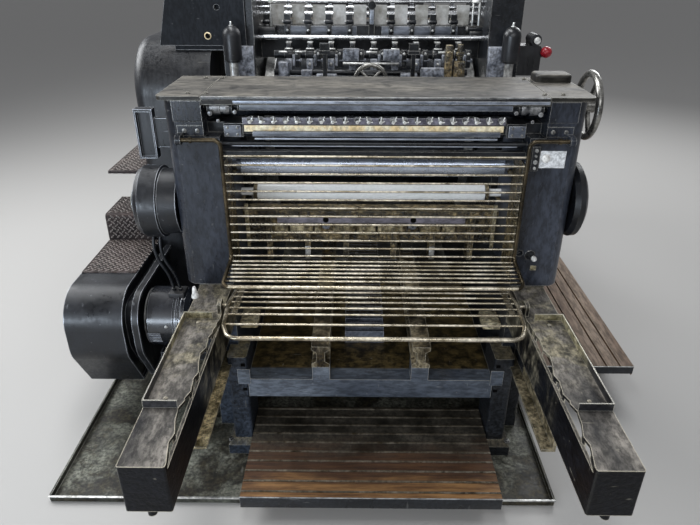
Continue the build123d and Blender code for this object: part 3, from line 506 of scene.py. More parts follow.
bolts("tray_screws", [(side * 0.536, y, 0.6772) for side in (-1, 1) for y in (-0.24, -0.59)],
      (0, 0, 1), 0.008, arm_enamel)
side_bolts("arm_root_bolts", 0.5835, [(y, z) for y in (-0.05, -0.1) for z in (0.57, 0.64)], 0.018)
cone = turned((-0.581, -0.085, 0.6765), (0, 0, 1),
              [(0, 0.012), (0.008, 0.012), (0.011, 0.0095), (0.037, 0.0055), (0.040, 0.004)], 24)
finished("arm_root_cone", [cone], white_knob)


# Ink unit. Two columns with a rounded outer corner and a flat cover across the top, cast and
# painted black. The cover is brown with dust on top, with a black band and grey strips in front.
# Painted sheen: the columns' large, upright, lighter bluish patches stand in for the window's reflection on
# their fronts.
column_enamel_and_sheen = old_finish(
    "column enamel with painted sheen", coat=(0.0075, 0.009, 0.013), faded_and_sheen=(0.050, 0.058, 0.078), bare=(0.45, 0.44, 0.41),
    grime=(0.05, 0.045, 0.035), gloss=0.24, wear=0.65, edge=0.003, dust=0.25, patches=3.4,
    stretch=(1, 1, 0.4), mottle=0.4, shine=0.45)
cover_enamel = old_finish(
    "cover enamel", coat=(0.012, 0.0115, 0.010), faded_and_sheen=(0.035, 0.032, 0.027), bare=(0.42, 0.40, 0.35),
    grime=((0.042, 0.040, 0.037), (0.135, 0.124, 0.105)), gloss=0.3, wear=0.62, edge=0.003, dust=0.62,
    dust_patches=5.5, patches=6.0, stretch=(0.25, 1, 1), mottle=0.5, specks=0.6, cover=0.40,
    grease_patches=9.0, grease=((0.006, 0.006, 0.007), (0.03, 0.028, 0.025)))
# Pale finish for thin edge rods: on the cover a painted highlight, on the front step a worn edge.
highlight_and_worn_edge = old_finish(
    "painted highlight and worn edge", coat=(0.03, 0.03, 0.032), faded_and_sheen=(0.42, 0.43, 0.44), bare=(0.7, 0.7, 0.69),
    grime=(0.4, 0.4, 0.38), gloss=0.3, wear=0.5, dust=0.2, patches=16.0, shine=0.5)
steel_grey = old_finish(
    "blue grey steel", coat=(0.055, 0.063, 0.08), faded_and_sheen=(0.16, 0.175, 0.21), bare=(0.6, 0.6, 0.6),
    grime=(0.12, 0.115, 0.11), gloss=0.28, wear=0.75, dust=0.3, patches=12.0, stretch=(0.3, 1, 1),
    shine=0.45)
pale_grey = old_finish(
    "pale worn steel", coat=(0.14, 0.16, 0.20), faded_and_sheen=(0.36, 0.39, 0.45), bare=(0.7, 0.7, 0.7),
    grime=(0.2, 0.2, 0.2), gloss=0.26, wear=0.7, dust=0.2, patches=14.0, stretch=(0.3, 1, 1), metal=0.3,
    shine=0.5)
finish_nodes(column_enamel_and_sheen, "column_left", "column_right")
finish_nodes(cover_enamel, "top_cover")
# Painted highlight: a thin pale rod along the cover's front edge stands in for the light caught on that
# edge.
edge_highlight = rod((-0.512, -0.0012, 1.3076), (0.512, -0.0012, 1.3076), 0.0011, 0.0003, 12)
finished("cover_edge_line", [edge_highlight], highlight_and_worn_edge)
for name, low, high, finish in (
        ("cover_front_band", (-0.512, -0.0045, 1.2990), (0.512, 0.004, 1.3062), blue_black),
        ("cover_front_strip", (-0.420, -0.0046, 1.2885), (0.512, 0.004, 1.2982), pale_grey),
        ("head_grey_rail", (-0.402, 0.002, 1.268), (0.406, 0.010, 1.2875), steel_grey)):
    finished(name, [block(low, high, 0.0015)], finish)
bolts("cover_screws", [(side * x, y, 1.3092) for side in (-1, 1) for x in (0.56, 0.505)
                       for y in (0.04, 0.29)],
      (0, 0, 1), 0.010, cover_enamel)
bolts("head_strip_bolts", [(side * x, -0.003, 1.208) for side in (-1, 1) for x in (0.533, 0.572)],
      (0, -1, 0), 0.010, blue_black)


# Fittings of the right column. A bare label plate with a white knob and a screwed block next to
# it, and lower down a stop knob in a ring above a worn pad.
label_enamel = old_finish(
    "bare label plate", coat=(0.60, 0.61, 0.62), faded_and_sheen=(0.72, 0.73, 0.74), bare=(0.5, 0.5, 0.5),
    grime=(0.4, 0.38, 0.32), gloss=0.35, wear=0.3, dust=0.2, patches=25.0, shine=0.4)
label_plate = block((0.506, -0.0014, 1.096), (0.585, 0.001, 1.150), 0.0006, 1)
finished("label_plate", [label_plate], label_enamel)
knob_block = block((0.478, -0.010, 1.088), (0.503, 0.001, 1.166), 0.003)
finished("knob_block", [knob_block], blue_black)
label_knob = turned((0.522, -0.001, 1.127), (0, -1, 0),
                    [(0, 0.013), (0.008, 0.013), (0.010, 0.011), (0.013, 0.007)], 28)
finished("label_knob", [label_knob], white_knob)
fittings = [rod((0.490, -0.009, z), (0.490, -0.016, z), radius, 0.001, 6)
            for z, radius in ((1.154, 0.006), (1.137, 0.004), (1.118, 0.007), (1.099, 0.005))]
finished("knob_block_fittings", fittings, worn_steel)
stop_knob = turned((0.533, 0.001, 0.789), (0, -1, 0),
                   [(0, 0.006), (0.010, 0.006), (0.012, 0.0085), (0.019, 0.0085), (0.022, 0.006)], 20)
finished("column_stop_knob", [stop_knob], white_knob)
stop_ring = turned((0.521, 0.0, 0.797), (0, -1, 0), [(0, 0.017), (0.003, 0.017), (0.004, 0.015)], 28)
finished("column_stop_ring", [stop_ring], blue_black)
worn_pad = block((0.529, -0.0022, 0.740), (0.549, 0.001, 0.757), 0.0008)
finished("column_worn_pad", [worn_pad], tray_enamel)


# Ink fountain. A cast trough across the unit, with a brass strip along its blade, round steel
# clamps and bolted plates at its ends, and two thin rods below.
brass = old_finish(
    "worn brass", coat=(0.80, 0.60, 0.31), faded_and_sheen=(0.97, 0.90, 0.68), bare=(0.95, 0.9, 0.7),
    grime=(0.5, 0.38, 0.18), gloss=0.3, wear=0.5, dust=0.3, metal=0.1, patches=30.0, shine=0.5, mottle=0.25,
    cover=0.30, grease_patches=38.0, grease=((0.10, 0.07, 0.03), (0.35, 0.24, 0.09)))
clamp_steel = old_finish(
    "grimy clamp steel", coat=(0.11, 0.11, 0.115), faded_and_sheen=(0.32, 0.32, 0.32), bare=(0.7, 0.7, 0.69),
    grime=(0.07, 0.065, 0.055), gloss=0.3, wear=0.6, dust=0.3, metal=0.6, patches=34.0, shine=0.5)
finish_nodes(blue_black, "ink_fountain")
finish_nodes(brass, "fountain_strip")
clamp_rings = [(0, 0.0195), (0.006, 0.0212), (0.016, 0.0212), (0.018, 0.0196), (0.026, 0.0196),
               (0.028, 0.0222), (0.048, 0.0222), (0.050, 0.0200), (0.056, 0.0196), (0.058, 0.014)]
clamps = [turned((side * 0.437, 0.034, 1.271), (side, 0, 0), clamp_rings) for side in (-1, 1)]
finished("fountain_clamps", clamps, clamp_steel)
finished("fountain_end_plates", both_sides(0.404, 0.456, (0.010, 1.186), (0.019, 1.222), 0.003), steel_grey)
pins = [rod((side * x, 0.014, z), (side * x, 0.004, z), radius) for side in (-1, 1)
        for x, z, radius in ((0.492, 1.258, 0.007), (0.470, 1.236, 0.005), (0.418, 1.262, 0.006))]
finished("fountain_pins", pins, clamp_steel)
bolts("fountain_bolts", [(side * x, 0.0098, z) for side in (-1, 1) for x in (0.415, 0.445)
                         for z in (1.194, 1.214)],
      (0, -1, 0), 0.006, blue_black)
fountain_rail = block((-0.370, 0.008, 1.188), (0.380, 0.019, 1.2035))
finished("fountain_rail", [fountain_rail], steel_grey)
thin_rods = [rod((-0.364, 0.010, 1.181), (0.372, 0.010, 1.181), 0.0030),
             rod((-0.440, 0.030, 1.153), (0.440, 0.030, 1.153), 0.0022)]
finished("fountain_rods", thin_rods, pale_grey)


# Ink keys. A row of small screws in a violet grey bar, which set how much ink the blade lets
# through. Their worn white tips stand at slightly different angles.
key_steel = old_finish(
    "screw steel", coat=(0.14, 0.14, 0.14), faded_and_sheen=(0.5, 0.5, 0.48), bare=(0.75, 0.75, 0.73),
    grime=(0.10, 0.09, 0.07), gloss=0.3, wear=0.6, dust=0.3, metal=0.6, patches=60.0, shine=0.5, cover=0.45,
    grease=((0.01, 0.01, 0.012), (0.04, 0.04, 0.045)), grease_patches=45.0)
key_base = old_finish(
    "key base", coat=(0.05, 0.047, 0.06), faded_and_sheen=(0.19, 0.18, 0.22), bare=(0.5, 0.5, 0.5),
    grime=(0.1, 0.09, 0.09), gloss=0.3, wear=0.6, dust=0.3, patches=24.0, shine=0.45)
key_white = old_finish(
    "worn white metal", coat=(0.40, 0.39, 0.36), faded_and_sheen=(0.88, 0.87, 0.83), bare=(0.95, 0.95, 0.92),
    grime=(0.35, 0.32, 0.26), gloss=0.24, wear=0.6, dust=0.2, metal=0.2, patches=60.0, shine=0.6)
finish_nodes(key_steel, "ink_keys")
key_bar = block((-0.400, 0.018, 1.2225), (0.394, 0.026, 1.2430), 0.001)
finished("key_base_bar", [key_bar], key_base)
key_count, key_pitch = 22, 0.036
key_tips = []
for number in range(key_count):
    x = (number - (key_count - 1) / 2) * key_pitch
    lean = (0.006, -0.004, 0.001)[number % 3]
    key_tips += [rod((x, 0.020, 1.2315), (x + lean * 0.3, 0.0085, 1.2315), 0.0055, 0.0012, 12),
                 rod((x + 0.003, 0.014, 1.230), (x + 0.012, 0.012, 1.2345 + lean * 0.5), 0.0018, 0.0005, 8),
                 rod((x + lean, 0.015, 1.234), (x + lean * 1.8, 0.016, 1.2475), 0.0022, 0.0005, 8)]
finished("key_tips", key_tips, key_white)


# Rollers. An inked one, a ground steel one and a wiped white one with greasy collars, in
# greasy iron brackets on the columns.
roller_steel = old_finish(
    "roller steel", coat=(0.58, 0.65, 0.80), faded_and_sheen=(0.78, 0.85, 0.98), bare=(0.9, 0.92, 0.95),
    grime=(0.6, 0.65, 0.75), gloss=0.2, wear=0.3, dust=0.1, metal=0.8, shine=0.5, mottle=0.06, specks=0.1,
    scratches=0.05)
inked_steel = old_finish(
    "inked roller", coat=(0.007, 0.008, 0.010), faded_and_sheen=(0.02, 0.022, 0.028), bare=(0.3, 0.3, 0.3),
    grime=(0.03, 0.03, 0.03), gloss=0.18, wear=0.4, dust=0.1, shine=0.4)
white_sleeve = old_finish(
    "white sleeve", coat=(0.94, 0.95, 0.93), faded_and_sheen=(0.98, 0.98, 0.97), bare=(0.97, 0.97, 0.95),
    grime=(0.8, 0.79, 0.72), gloss=0.3, wear=0.2, dust=0.1, scratches=0.03, shine=0.5, mottle=0.05,
    specks=0.05)
greasy_iron = old_finish(
    "greasy iron", coat=(0.008, 0.0065, 0.004), faded_and_sheen=(0.075, 0.058, 0.030), bare=(0.5, 0.43, 0.28),
    grime=((0.06, 0.045, 0.02), (0.42, 0.34, 0.2)), gloss=0.18, wear=0.6, dust=0.55, patches=14.0,
    shine=0.7, grease=((0.03, 0.020, 0.008), (0.40, 0.30, 0.15)), cover=0.48, grease_patches=14.0,
    mottle=0.8, specks=0.8, lumps=0.003)
finish_nodes(roller_steel, "steel_roller")
finish_nodes(inked_steel, "fountain_roller")
finish_nodes(white_sleeve, "white_roller")
brackets = [part for y, z, reach in ((0.168, 1.052, 0.030), (0.275, 0.912, 0.026))
            for part in both_sides(0.458, 0.4702, (y - reach, z - reach), (y + reach, z - 0.018), 0.003)]
finished("roller_brackets", brackets, greasy_iron)
collars = [turned((side * 0.346, 0.275, 0.912), (side, 0, 0),
                  [(0, 0.0262), (0.001, 0.0275), (0.077, 0.0275), (0.078, 0.0262)], 40) for side in (-1, 1)]
finished("white_roller_collars", collars, greasy_iron, "white_roller_body")


# Cross plate. A ribbed casting between the columns under the rollers, with a violet grey band.
# Old grease lies on it in pale lumps, and on the columns' inner faces and the wall brackets.
pale_grease = old_finish(
    "pale old grease", coat=(0.16, 0.12, 0.05), faded_and_sheen=(0.58, 0.50, 0.32), bare=(0.7, 0.64, 0.48),
    grime=((0.2, 0.16, 0.08), (0.62, 0.55, 0.38)), gloss=0.25, wear=0.5, dust=0.5, patches=26.0, shine=0.6,
    mottle=0.7, specks=0.9, lumps=0.003)
band_tone = old_finish(
    "violet grey casting", coat=(0.07, 0.062, 0.075), faded_and_sheen=(0.26, 0.24, 0.28), bare=(0.5, 0.48, 0.45),
    grime=(0.2, 0.17, 0.13), gloss=0.22, wear=0.6, dust=0.4, patches=8.0, stretch=(0.4, 1, 1), shine=0.5)
finish_nodes(greasy_iron, "cross_plate")
bolts("cross_plate_bolts", [(x, 0.288, 0.774) for x in (-0.166, 0.159)], (0, -1, 0), 0.024, steel_grey)
finished("cross_plate_band", [block((-0.345, 0.258, 0.794), (0.350, 0.292, 0.821), 0.003)], band_tone)
# Painted shade: near black discs on the band for the shade inside its two holes.
band_hole_shades = [turned((x, 0.2585, 0.808), (0, -1, 0), [(0, 0.011), (0.0008, 0.011), (0.001, 0.006)], 24)
              for x in (-0.165, 0.158)]
finished("cross_plate_hole_shades", band_hole_shades, painted_hole_shade)
grease_lumps = [
    block((left, front, low), (right, 0.300, high), 0.006, 3)
    for left, right, low, high, front in (
        (-0.300, -0.215, 0.752, 0.786, 0.268), (-0.208, -0.186, 0.744, 0.780, 0.272),
        (-0.140, -0.058, 0.748, 0.782, 0.270), (-0.050, 0.020, 0.742, 0.787, 0.266),
        (0.028, 0.122, 0.752, 0.784, 0.270), (0.188, 0.262, 0.746, 0.786, 0.268),
        (0.270, 0.318, 0.742, 0.776, 0.272), (-0.36, -0.31, 0.735, 0.778, 0.270))]
grease_lumps += both_sides(0.448, 0.462, (0.250, 0.700), (0.262, 0.872), 0.003)
grease_lumps += both_sides(0.408, 0.4725, (0.045, 0.470), (0.135, 0.497), 0.004)
finished("greasy_lumps", grease_lumps, pale_grease)
rib_faces = [block((x - 0.0105, 0.266, 0.645), (x + 0.0105, 0.273, 0.696)) for x in (-0.235, 0.235)]
finished("rib_faces", rib_faces, worn_steel)
finished("greasy_inner_faces", both_sides(0.4665, 0.4702, (0.02, 0.70), (0.14, 1.10), 0.001, 1), greasy_iron)


# Wire guards. Bent steel tube with welded rods, once plated, now brown with oil where hands
# and rags don't reach. The upper one's outer tubes are darkest.
def make_outer_end():
    """Mask of what lies further out than a distance to either side of the middle."""
    group, given, result = node_group("outer end", dict(Beyond=0.45), "Mask")
    out = maths(group, "ABSOLUTE", dot_product(group, object_place(group), (1, 0, 0)))
    low = maths(group, "SUBTRACT", given["Beyond"], 0.003)
    feed(group, remap(group, out, low, given["Beyond"]), result["Mask"])
    return group


guard_looks = dict(
    coat=(0.27, 0.225, 0.15), faded_and_sheen=(0.74, 0.68, 0.56), bare=(0.8, 0.78, 0.7), gloss=0.2, wear=0.5,
    grime=(0.58, 0.52, 0.40), dust=0.35, metal=0.86, patches=11.0, shine=0.5, mottle=0.3, cover=0.34,
    grease=((0.03, 0.022, 0.010), (0.17, 0.12, 0.05)), grease_patches=11.0, specks=0.5)
guard_steel = old_finish("guard steel", **guard_looks)
dark_ends = old_finish("guard steel, dark ends", **guard_looks)
tree = dark_ends.node_tree
base = tree.nodes["Principled BSDF"].inputs["Base Color"]
end_cloud = place_group(tree, patchiness, Patches=16.0)["Cloud"]
oiled = blend_colour(tree, end_cloud, (0.02, 0.017, 0.012), (0.13, 0.10, 0.06))
ends = place_group(tree, make_outer_end(), Beyond=0.456)["Mask"]
feed(tree, blend_colour(tree, ends, base.links[0].from_socket, oiled), base)
finish_nodes(dark_ends, "upper_guard")
finish_nodes(guard_steel, "lower_guard")


# Handwheels. Turned and polished steel: one with spokes on the ink unit's side, and a small one
# on the beam between the side frames.
polished = old_finish(
    "polished steel", coat=(0.16, 0.155, 0.145), faded_and_sheen=(0.40, 0.39, 0.36), bare=(0.7, 0.69, 0.66),
    grime=(0.2, 0.18, 0.14), gloss=0.22, wear=0.6, dust=0.2, metal=0.85, patches=14.0, shine=0.5)
finish_nodes(polished, "side_handwheel", "small_handwheel")


# Covers. Pressed and folded sheet over gears, belts and drives, in smooth black enamel that is
# brushed by rags, with a disc on the round cover, an eye in the panel and a hinged door behind.
def make_rag_marks():
    """Fine upright marks that rags leave in enamel, as a value round one half."""
    group, given, result = node_group("rag marks", dict(Lines=90.0), "Marks")
    fine = noise(group, object_place(group, (1.0, 1.0, 0.06)), given["Lines"], 4.0, 0.7)
    feed(group, remap(group, fine, 0.3, 0.7), result["Marks"])
    return group


rag_marks = make_rag_marks()
smooth_black = old_finish(
    "smooth black", coat=(0.004, 0.0045, 0.006), faded_and_sheen=(0.012, 0.013, 0.0165), bare=(0.3, 0.29, 0.27),
    grime=((0.03, 0.027, 0.022), (0.07, 0.06, 0.045)), gloss=0.25, wear=0.4, dust=0.3, patches=8.0,
    shine=0.55, mottle=0.25)
rim_black = old_finish(
    "black with a worn rim", coat=(0.0025, 0.003, 0.0045), faded_and_sheen=(0.009, 0.0105, 0.0145),
    bare=(0.6, 0.62, 0.66), grime=(0.03, 0.029, 0.030), gloss=0.24, wear=0.85, edge=0.004, dust=0.15,
    patches=8.0, shine=0.55, mottle=0.2)
for finish, strength in ((smooth_black, 0.18), (rim_black, 0.16)):
    tree = finish.node_tree
    rough = tree.nodes["Principled BSDF"].inputs["Roughness"]
    marks = maths(tree, "MULTIPLY", place_group(tree, rag_marks, Lines=90.0)["Marks"], strength)
    feed(tree, maths(tree, "ADD", rough.links[0].from_socket, marks), rough)
panel_black = old_finish(
    "dull panel black", coat=(0.007, 0.008, 0.010), faded_and_sheen=(0.020, 0.023, 0.028), bare=(0.4, 0.4, 0.4),
    grime=(0.045, 0.043, 0.042), gloss=0.5, wear=0.6, dust=0.2, patches=4.0, shine=0.12,
    stretch=(1, 1, 0.4), mottle=0.3)
disc_enamel = old_finish(
    "grey green disc", coat=(0.07, 0.08, 0.065), faded_and_sheen=(0.18, 0.19, 0.15), bare=(0.5, 0.48, 0.4),
    grime=(0.13, 0.12, 0.09), gloss=0.4, wear=0.5, dust=0.3, patches=22.0, shine=0.35)
finish_nodes(smooth_black, "round_cover_right", "drive_cover", "control_head")
finish_nodes(rim_black, "belt_guard", "drive_side_box", "round_cover_left")
finish_nodes(panel_black, "upper_panel")
eye_ring = turned((-0.617, 0.6185, 1.405), (0, -1, 0), [(0, 0.0135), (0.002, 0.0135), (0.003, 0.0122)], 28)
finished("panel_eye_ring", [eye_ring], brass)
# Painted shade: a near black disc inside the brass ring for the shade in the panel's eye.
eye_hole_shade = turned((-0.617, 0.6165, 1.405), (0, -1, 0), [(0, 0.0095), (0.0012, 0.0095), (0.0014, 0.006)], 24)
finished("panel_eye_hole", [eye_hole_shade], painted_hole_shade)
disc = turned((-0.801, 0.125, 0.932), (-1, 0, 0),
              [(0, 0.05), (0.003, 0.05), (0.005, 0.046), (0.006, 0.02), (0.010, 0.018), (0.012, 0.008)])
finished("round_cover_disc", [disc], disc_enamel)
finished("gear_cover_door", [block((-0.9178, 0.86, 0.30), (-0.9145, 1.20, 0.80), 0.0014)], smooth_black)
door_fittings = [rod((-0.9195, 1.205, z), (-0.9195, 1.205, z + 0.05), 0.0065) for z in (0.36, 0.69)]
door_fittings.append(turned(
    (-0.9175, 0.895, 0.56), (-1, 0, 0),
    [(0, 0.016), (0.004, 0.016), (0.005, 0.009), (0.016, 0.008), (0.018, 0.014), (0.026, 0.013)], 24))
finished("gear_cover_fittings", door_fittings, worn_steel)


# Motor. A glossy black motor behind the belt guard, with a ring and a bolt on its shell, a vent
# grille, and a terminal box from which two conduits run up to the drive.
def bent_pipe(points, radius):
    """Round pipe along a smooth path through five places or more, made a mesh."""
    deselect()
    bpy.ops.curve.primitive_nurbs_path_add(location=(0, 0, 0))
    path = bpy.context.object
    line = path.data.splines[0]
    line.points.add(len(points) - len(line.points))
    for place, point in enumerate(line.points):
        point.co = (*spot(*points[place]), 1.0)
    line.use_endpoint_u = True
    line.order_u = 3
    path.data.bevel_depth = radius
    path.data.bevel_resolution = 4
    path.data.resolution_u = 6
    path.data.use_fill_caps = True
    bpy.ops.object.convert(target="MESH")
    return bpy.context.object


motor_black = old_finish(
    "glossy motor black", coat=(0.004, 0.005, 0.008), faded_and_sheen=(0.012, 0.014, 0.020), bare=(0.6, 0.62, 0.66),
    grime=(0.045, 0.043, 0.042), gloss=0.17, wear=0.8, dust=0.2, patches=8.0, shine=1.0, mottle=0.3)
finish_nodes(motor_black, "motor")
motor_y, motor_z, shell_radius = 0.215, 0.416, 0.115
grille = []
for row in range(6):
    z = 0.4035 - row * 0.0085
    shell = motor_y - math.sqrt(shell_radius ** 2 - (motor_z - z) ** 2)
    grille.append(block((-0.841, shell - 0.0012, z - 0.0022), (-0.790, shell + 0.004, z + 0.0022), 0.0008))
finished("motor_grille", grille, steel_grey)
ring = turned((-0.8475, motor_y, motor_z), (1, 0, 0),
              [(0, 0.1085), (0.0015, 0.1095), (0.004, 0.1095), (0.005, 0.1085)], 64)
finished("motor_ring", [ring], worn_steel)
bolts("motor_bolt", [(-0.764, 0.1015, 0.435)], (0, -1, 0), 0.009, worn_steel)
conduits = [bent_pipe([(x, 0.205, 0.530), (x - 0.002, 0.200, 0.575), (x - 0.014, 0.190, 0.625),
                       (x - 0.038, 0.185, 0.675), (x - 0.050, 0.190, 0.735), (x - 0.040, 0.215, 0.800),
                       (x - 0.013, 0.262, 0.880)], 0.0058) for x in (-0.722, -0.746)]
conduits += [turned((x, 0.206, 0.524), (0, -0.1, 1),
                    [(0, 0.011), (0.012, 0.011), (0.013, 0.0085), (0.024, 0.008)], 20)
             for x in (-0.722, -0.746)]
finished("motor_conduits", conduits, blue_black)
finished("motor_terminal_box", [block((-0.763, 0.172, 0.500), (-0.700, 0.235, 0.538), 0.006, 3)],
         smooth_black)


# Chequer plate. The steps over the drive and the ledge behind them are rolled plate with raised
# lozenges, brown with oil and scuffed by shoes.
def lozenges(name, corner, across, counts):
    """Raised lozenges in a chequer over a plate, from a corner along x and across it."""
    along, across, pitch = Vector((1, 0, 0)), Vector(across), 0.026
    out = along.cross(across)
    pair = []
    for step, slant in ((0.5, 1), (1.0, -1)):
        deselect()
        bpy.ops.mesh.primitive_cylinder_add(vertices=8, radius=0.5, depth=1)
        bpy.ops.object.mode_set(mode="EDIT")
        bpy.ops.mesh.select_all(action="SELECT")
        bpy.ops.transform.resize(value=(0.021, 0.0065, 0.0024), center_override=(0, 0, 0))
        bpy.ops.object.mode_set(mode="OBJECT")
        side = (along + across * slant).normalized()
        turn = Matrix((side, out.cross(side), out)).transposed().to_4x4()
        middle = spot(*corner) + (along + across) * pitch * step
        bpy.context.object.matrix_world = Matrix.Translation(middle) @ turn
        pair.append(rounded(0.0006, 1))
    one = joined(pair)
    for direction, count in ((along, counts[0]), (across, counts[1])):
        repeat = one.modifiers.new("repeat", "ARRAY")
        repeat.count = count
        repeat.use_relative_offset = False
        repeat.use_constant_offset = True
        repeat.constant_offset_displace = direction * pitch
        bpy.ops.object.modifier_apply(modifier=repeat.name)
    finished(name, [one], lozenge_brown)


plate_brown = old_finish(
    "chequer plate", coat=(0.014, 0.010, 0.009), faded_and_sheen=(0.038, 0.026, 0.024), bare=(0.4, 0.36, 0.34),
    grime=(0.075, 0.058, 0.05), gloss=0.42, wear=0.5, dust=0.35, metal=0.2, patches=9.0, mottle=0.5)
lozenge_brown = old_finish(
    "worn lozenges", coat=(0.035, 0.026, 0.024), faded_and_sheen=(0.11, 0.088, 0.082), bare=(0.55, 0.5, 0.46),
    grime=(0.10, 0.082, 0.074), gloss=0.34, wear=0.7, dust=0.3, metal=0.35, patches=14.0, shine=0.5,
    mottle=0.5)
finish_nodes(plate_brown, "chequer_steps", "drive_side_ledge")
lozenges("lower_step_lozenges", (-1.111, 0.258, 0.585), (0, 1, 0), (8, 11))
lozenges("riser_lozenges", (-1.110, 0.5478, 0.588), (0, 0, 1), (7, 4))
lozenges("upper_step_lozenges", (-1.110, 0.566, 0.702), (0, 1, 0), (7, 7))
lozenges("ledge_lozenges", (-1.066, 0.560, 0.892), (0, 1, 0), (5, 26))


# Side frames and impression cylinder. Black cast frames, bolted through, carry the oily cylinder
# with its bright bearer rims. Grey slabs, spring housings and the control head stand in front.
cylinder_black = old_finish(
    "oily cylinder", coat=(0.014, 0.016, 0.020), faded_and_sheen=(0.055, 0.060, 0.070), bare=(0.4, 0.4, 0.4),
    grime=(0.06, 0.055, 0.05), gloss=0.22, wear=0.4, dust=0.2, shine=0.5, metal=0.3, stretch=(0.3, 1, 1))
grey_casting = old_finish(
    "dusty grey casting", coat=(0.062, 0.070, 0.088), faded_and_sheen=(0.31, 0.33, 0.38), bare=(0.6, 0.6, 0.6),
    grime=(0.2, 0.2, 0.2), gloss=0.25, wear=0.7, dust=0.4, patches=22.0, shine=0.5, mottle=0.6)
red_enamel = old_finish(
    "red ball", coat=(0.20, 0.006, 0.012), faded_and_sheen=(0.34, 0.012, 0.022), bare=(0.4, 0.04, 0.05),
    grime=(0.2, 0.05, 0.05), gloss=0.2, wear=0.1, dust=0.1, scratches=0.05, shine=0.5)
finish_nodes(blue_black, "side_frame_left", "side_frame_right", "gripper_rail", "tie_beam", "control_lever")
finish_nodes(smooth_black, "spring_housings")
finish_nodes(cylinder_black, "impression_cylinder")
cylinder_y, cylinder_z = 0.95, 1.0
rims = [turned((x, cylinder_y, cylinder_z), (1, 0, 0),
               [(0, 0.3045), (0.0008, 0.3056), (0.0362, 0.3056), (0.037, 0.3045)], 96)
        for x in (-0.4295, 0.3925)]
finished("bearer_rims", rims, worn_steel, "impression_cylinder_body")
bolt_angles = [math.radians(30 + 60 * number) for number in range(6)]
bolts("bearing_bolts", [(0.599, cylinder_y + 0.088 * math.cos(angle), cylinder_z + 0.088 * math.sin(angle))
                        for angle in bolt_angles], (1, 0, 0), 0.022, blue_black)
bearing_cap = turned((0.598, cylinder_y, cylinder_z), (1, 0, 0),
                     [(0, 0.052), (0.006, 0.052), (0.010, 0.046), (0.012, 0.020), (0.016, 0.012)], 40)
finished("bearing_cap", [bearing_cap], grey_casting)
side_bolts("frame_bolts", 0.5655, [(0.70, 1.53), (1.06, 1.53), (0.70, 1.30), (1.32, 1.14),
                                   (0.66, 0.80), (1.30, 0.73), (1.62, 0.73)], 0.026)
finished("frame_front_slabs", both_sides(0.447, 0.512, (0.602, 1.208), (0.629, 1.370), 0.003), grey_casting)
housing_parts = []
for side in (-1, 1):
    housing_parts += [turned((side * 0.516, 0.560, 1.445), (0, 0, 1),
                             [(0, 0.009), (0.004, 0.0085), (0.005, 0.0042), (0.015, 0.0042),
                              (0.017, 0.0025)], 20),
                      turned((side * 0.516, 0.560, 1.226), (0, 0, 1),
                             [(0, 0.024), (0.012, 0.024), (0.014, 0.0185), (0.024, 0.0165),
                              (0.094, 0.0165)], 28)]
finished("housing_bright_parts", housing_parts, worn_steel)
head_cap = turned((0.624, 0.6125, 1.393), (0, -1, 0),
                  [(0, 0.0085), (0.003, 0.012), (0.009, 0.012), (0.012, 0.008)], 24)
finished("control_cap", [head_cap], white_knob)
ball_radius = 0.0215
ball_angles = [math.radians(angle) for angle in (8, 20, 34, 48, 62, 76, 90, 104, 118, 132, 146, 160, 172)]
ball = turned((0.668, 0.624 + ball_radius, 1.350), (0, -1, 0),
              [(ball_radius - ball_radius * math.cos(angle), ball_radius * math.sin(angle))
               for angle in ball_angles])
finished("lever_ball", [ball], red_enamel, "control_lever_body", 60)


# Delivery bar. Bright rods across the frames hold pale sheet strips over a black rail, whose
# clamps, pins and grey face plates stand at one pitch.
rod_steel = old_finish(
    "cross rod steel", coat=(0.42, 0.43, 0.45), faded_and_sheen=(0.78, 0.79, 0.80), bare=(0.85, 0.85, 0.84),
    grime=(0.5, 0.5, 0.5), gloss=0.15, wear=0.6, dust=0.2, metal=0.95, patches=20.0, shine=0.5, mottle=0.1)
strip_cream = old_finish(
    "pale sheet strip", coat=(0.20, 0.19, 0.16), faded_and_sheen=(0.62, 0.62, 0.61), bare=(0.9, 0.9, 0.87),
    grime=(0.4, 0.38, 0.32), gloss=0.35, wear=0.3, dust=0.3, patches=9.0, shine=0.4, mottle=0.12,
    grease=((0.05, 0.045, 0.04), (0.25, 0.22, 0.16)), cover=0.33, grease_patches=9.0)
finish_nodes(rod_steel, "cross_rods")
delivery_rods = [
    rod((low_x, 0.775, low), (high_x, 0.775, high), radius)
    for low_x, low, high_x, high, radius in (
        (-0.480, 1.370, -0.476, 1.535, 0.004), (-0.396, 1.420, -0.394, 1.512, 0.0055),
        (0.405, 1.373, 0.403, 1.515, 0.004), (0.430, 1.373, 0.428, 1.515, 0.006))]
finished("delivery_rods", delivery_rods, worn_steel)
rod_caps = [turned((-0.394, 0.775, 1.508), (0, 0, 1),
                   [(0, 0.006), (0.003, 0.010), (0.012, 0.010), (0.015, 0.006)], 20),
            turned((0.414, 0.775, 1.512), (0, 0, 1),
                   [(0, 0.008), (0.003, 0.017), (0.012, 0.017), (0.015, 0.010)], 20)]
finished("rod_caps", rod_caps, white_knob)
holders = [block((-0.460, 0.755, 1.386), (-0.378, 0.790, 1.424), 0.004),
           rod((0.383, 0.765, 1.418), (0.445, 0.765, 1.418), 0.011),
           block((0.395, 0.762, 1.38), (0.445, 0.79, 1.41), 0.004)]
finished("delivery_holders", holders, blue_black)
holder_end = turned((0.3835, 0.765, 1.418), (-1, 0, 0), [(0, 0.009), (0.003, 0.009), (0.005, 0.006)], 20)
finished("holder_end", [holder_end], worn_steel)
clamp_pitch = 0.083
strips = [block((x - 0.026, 0.834, 1.425), (x + 0.026, 0.8365, 1.500), 0.0006, 1)
          for x in [(number + 0.5) * clamp_pitch for number in range(-5, 5)]]
finished("sheet_strips", strips, strip_cream)
rail_clamps, clamp_pins = [], []
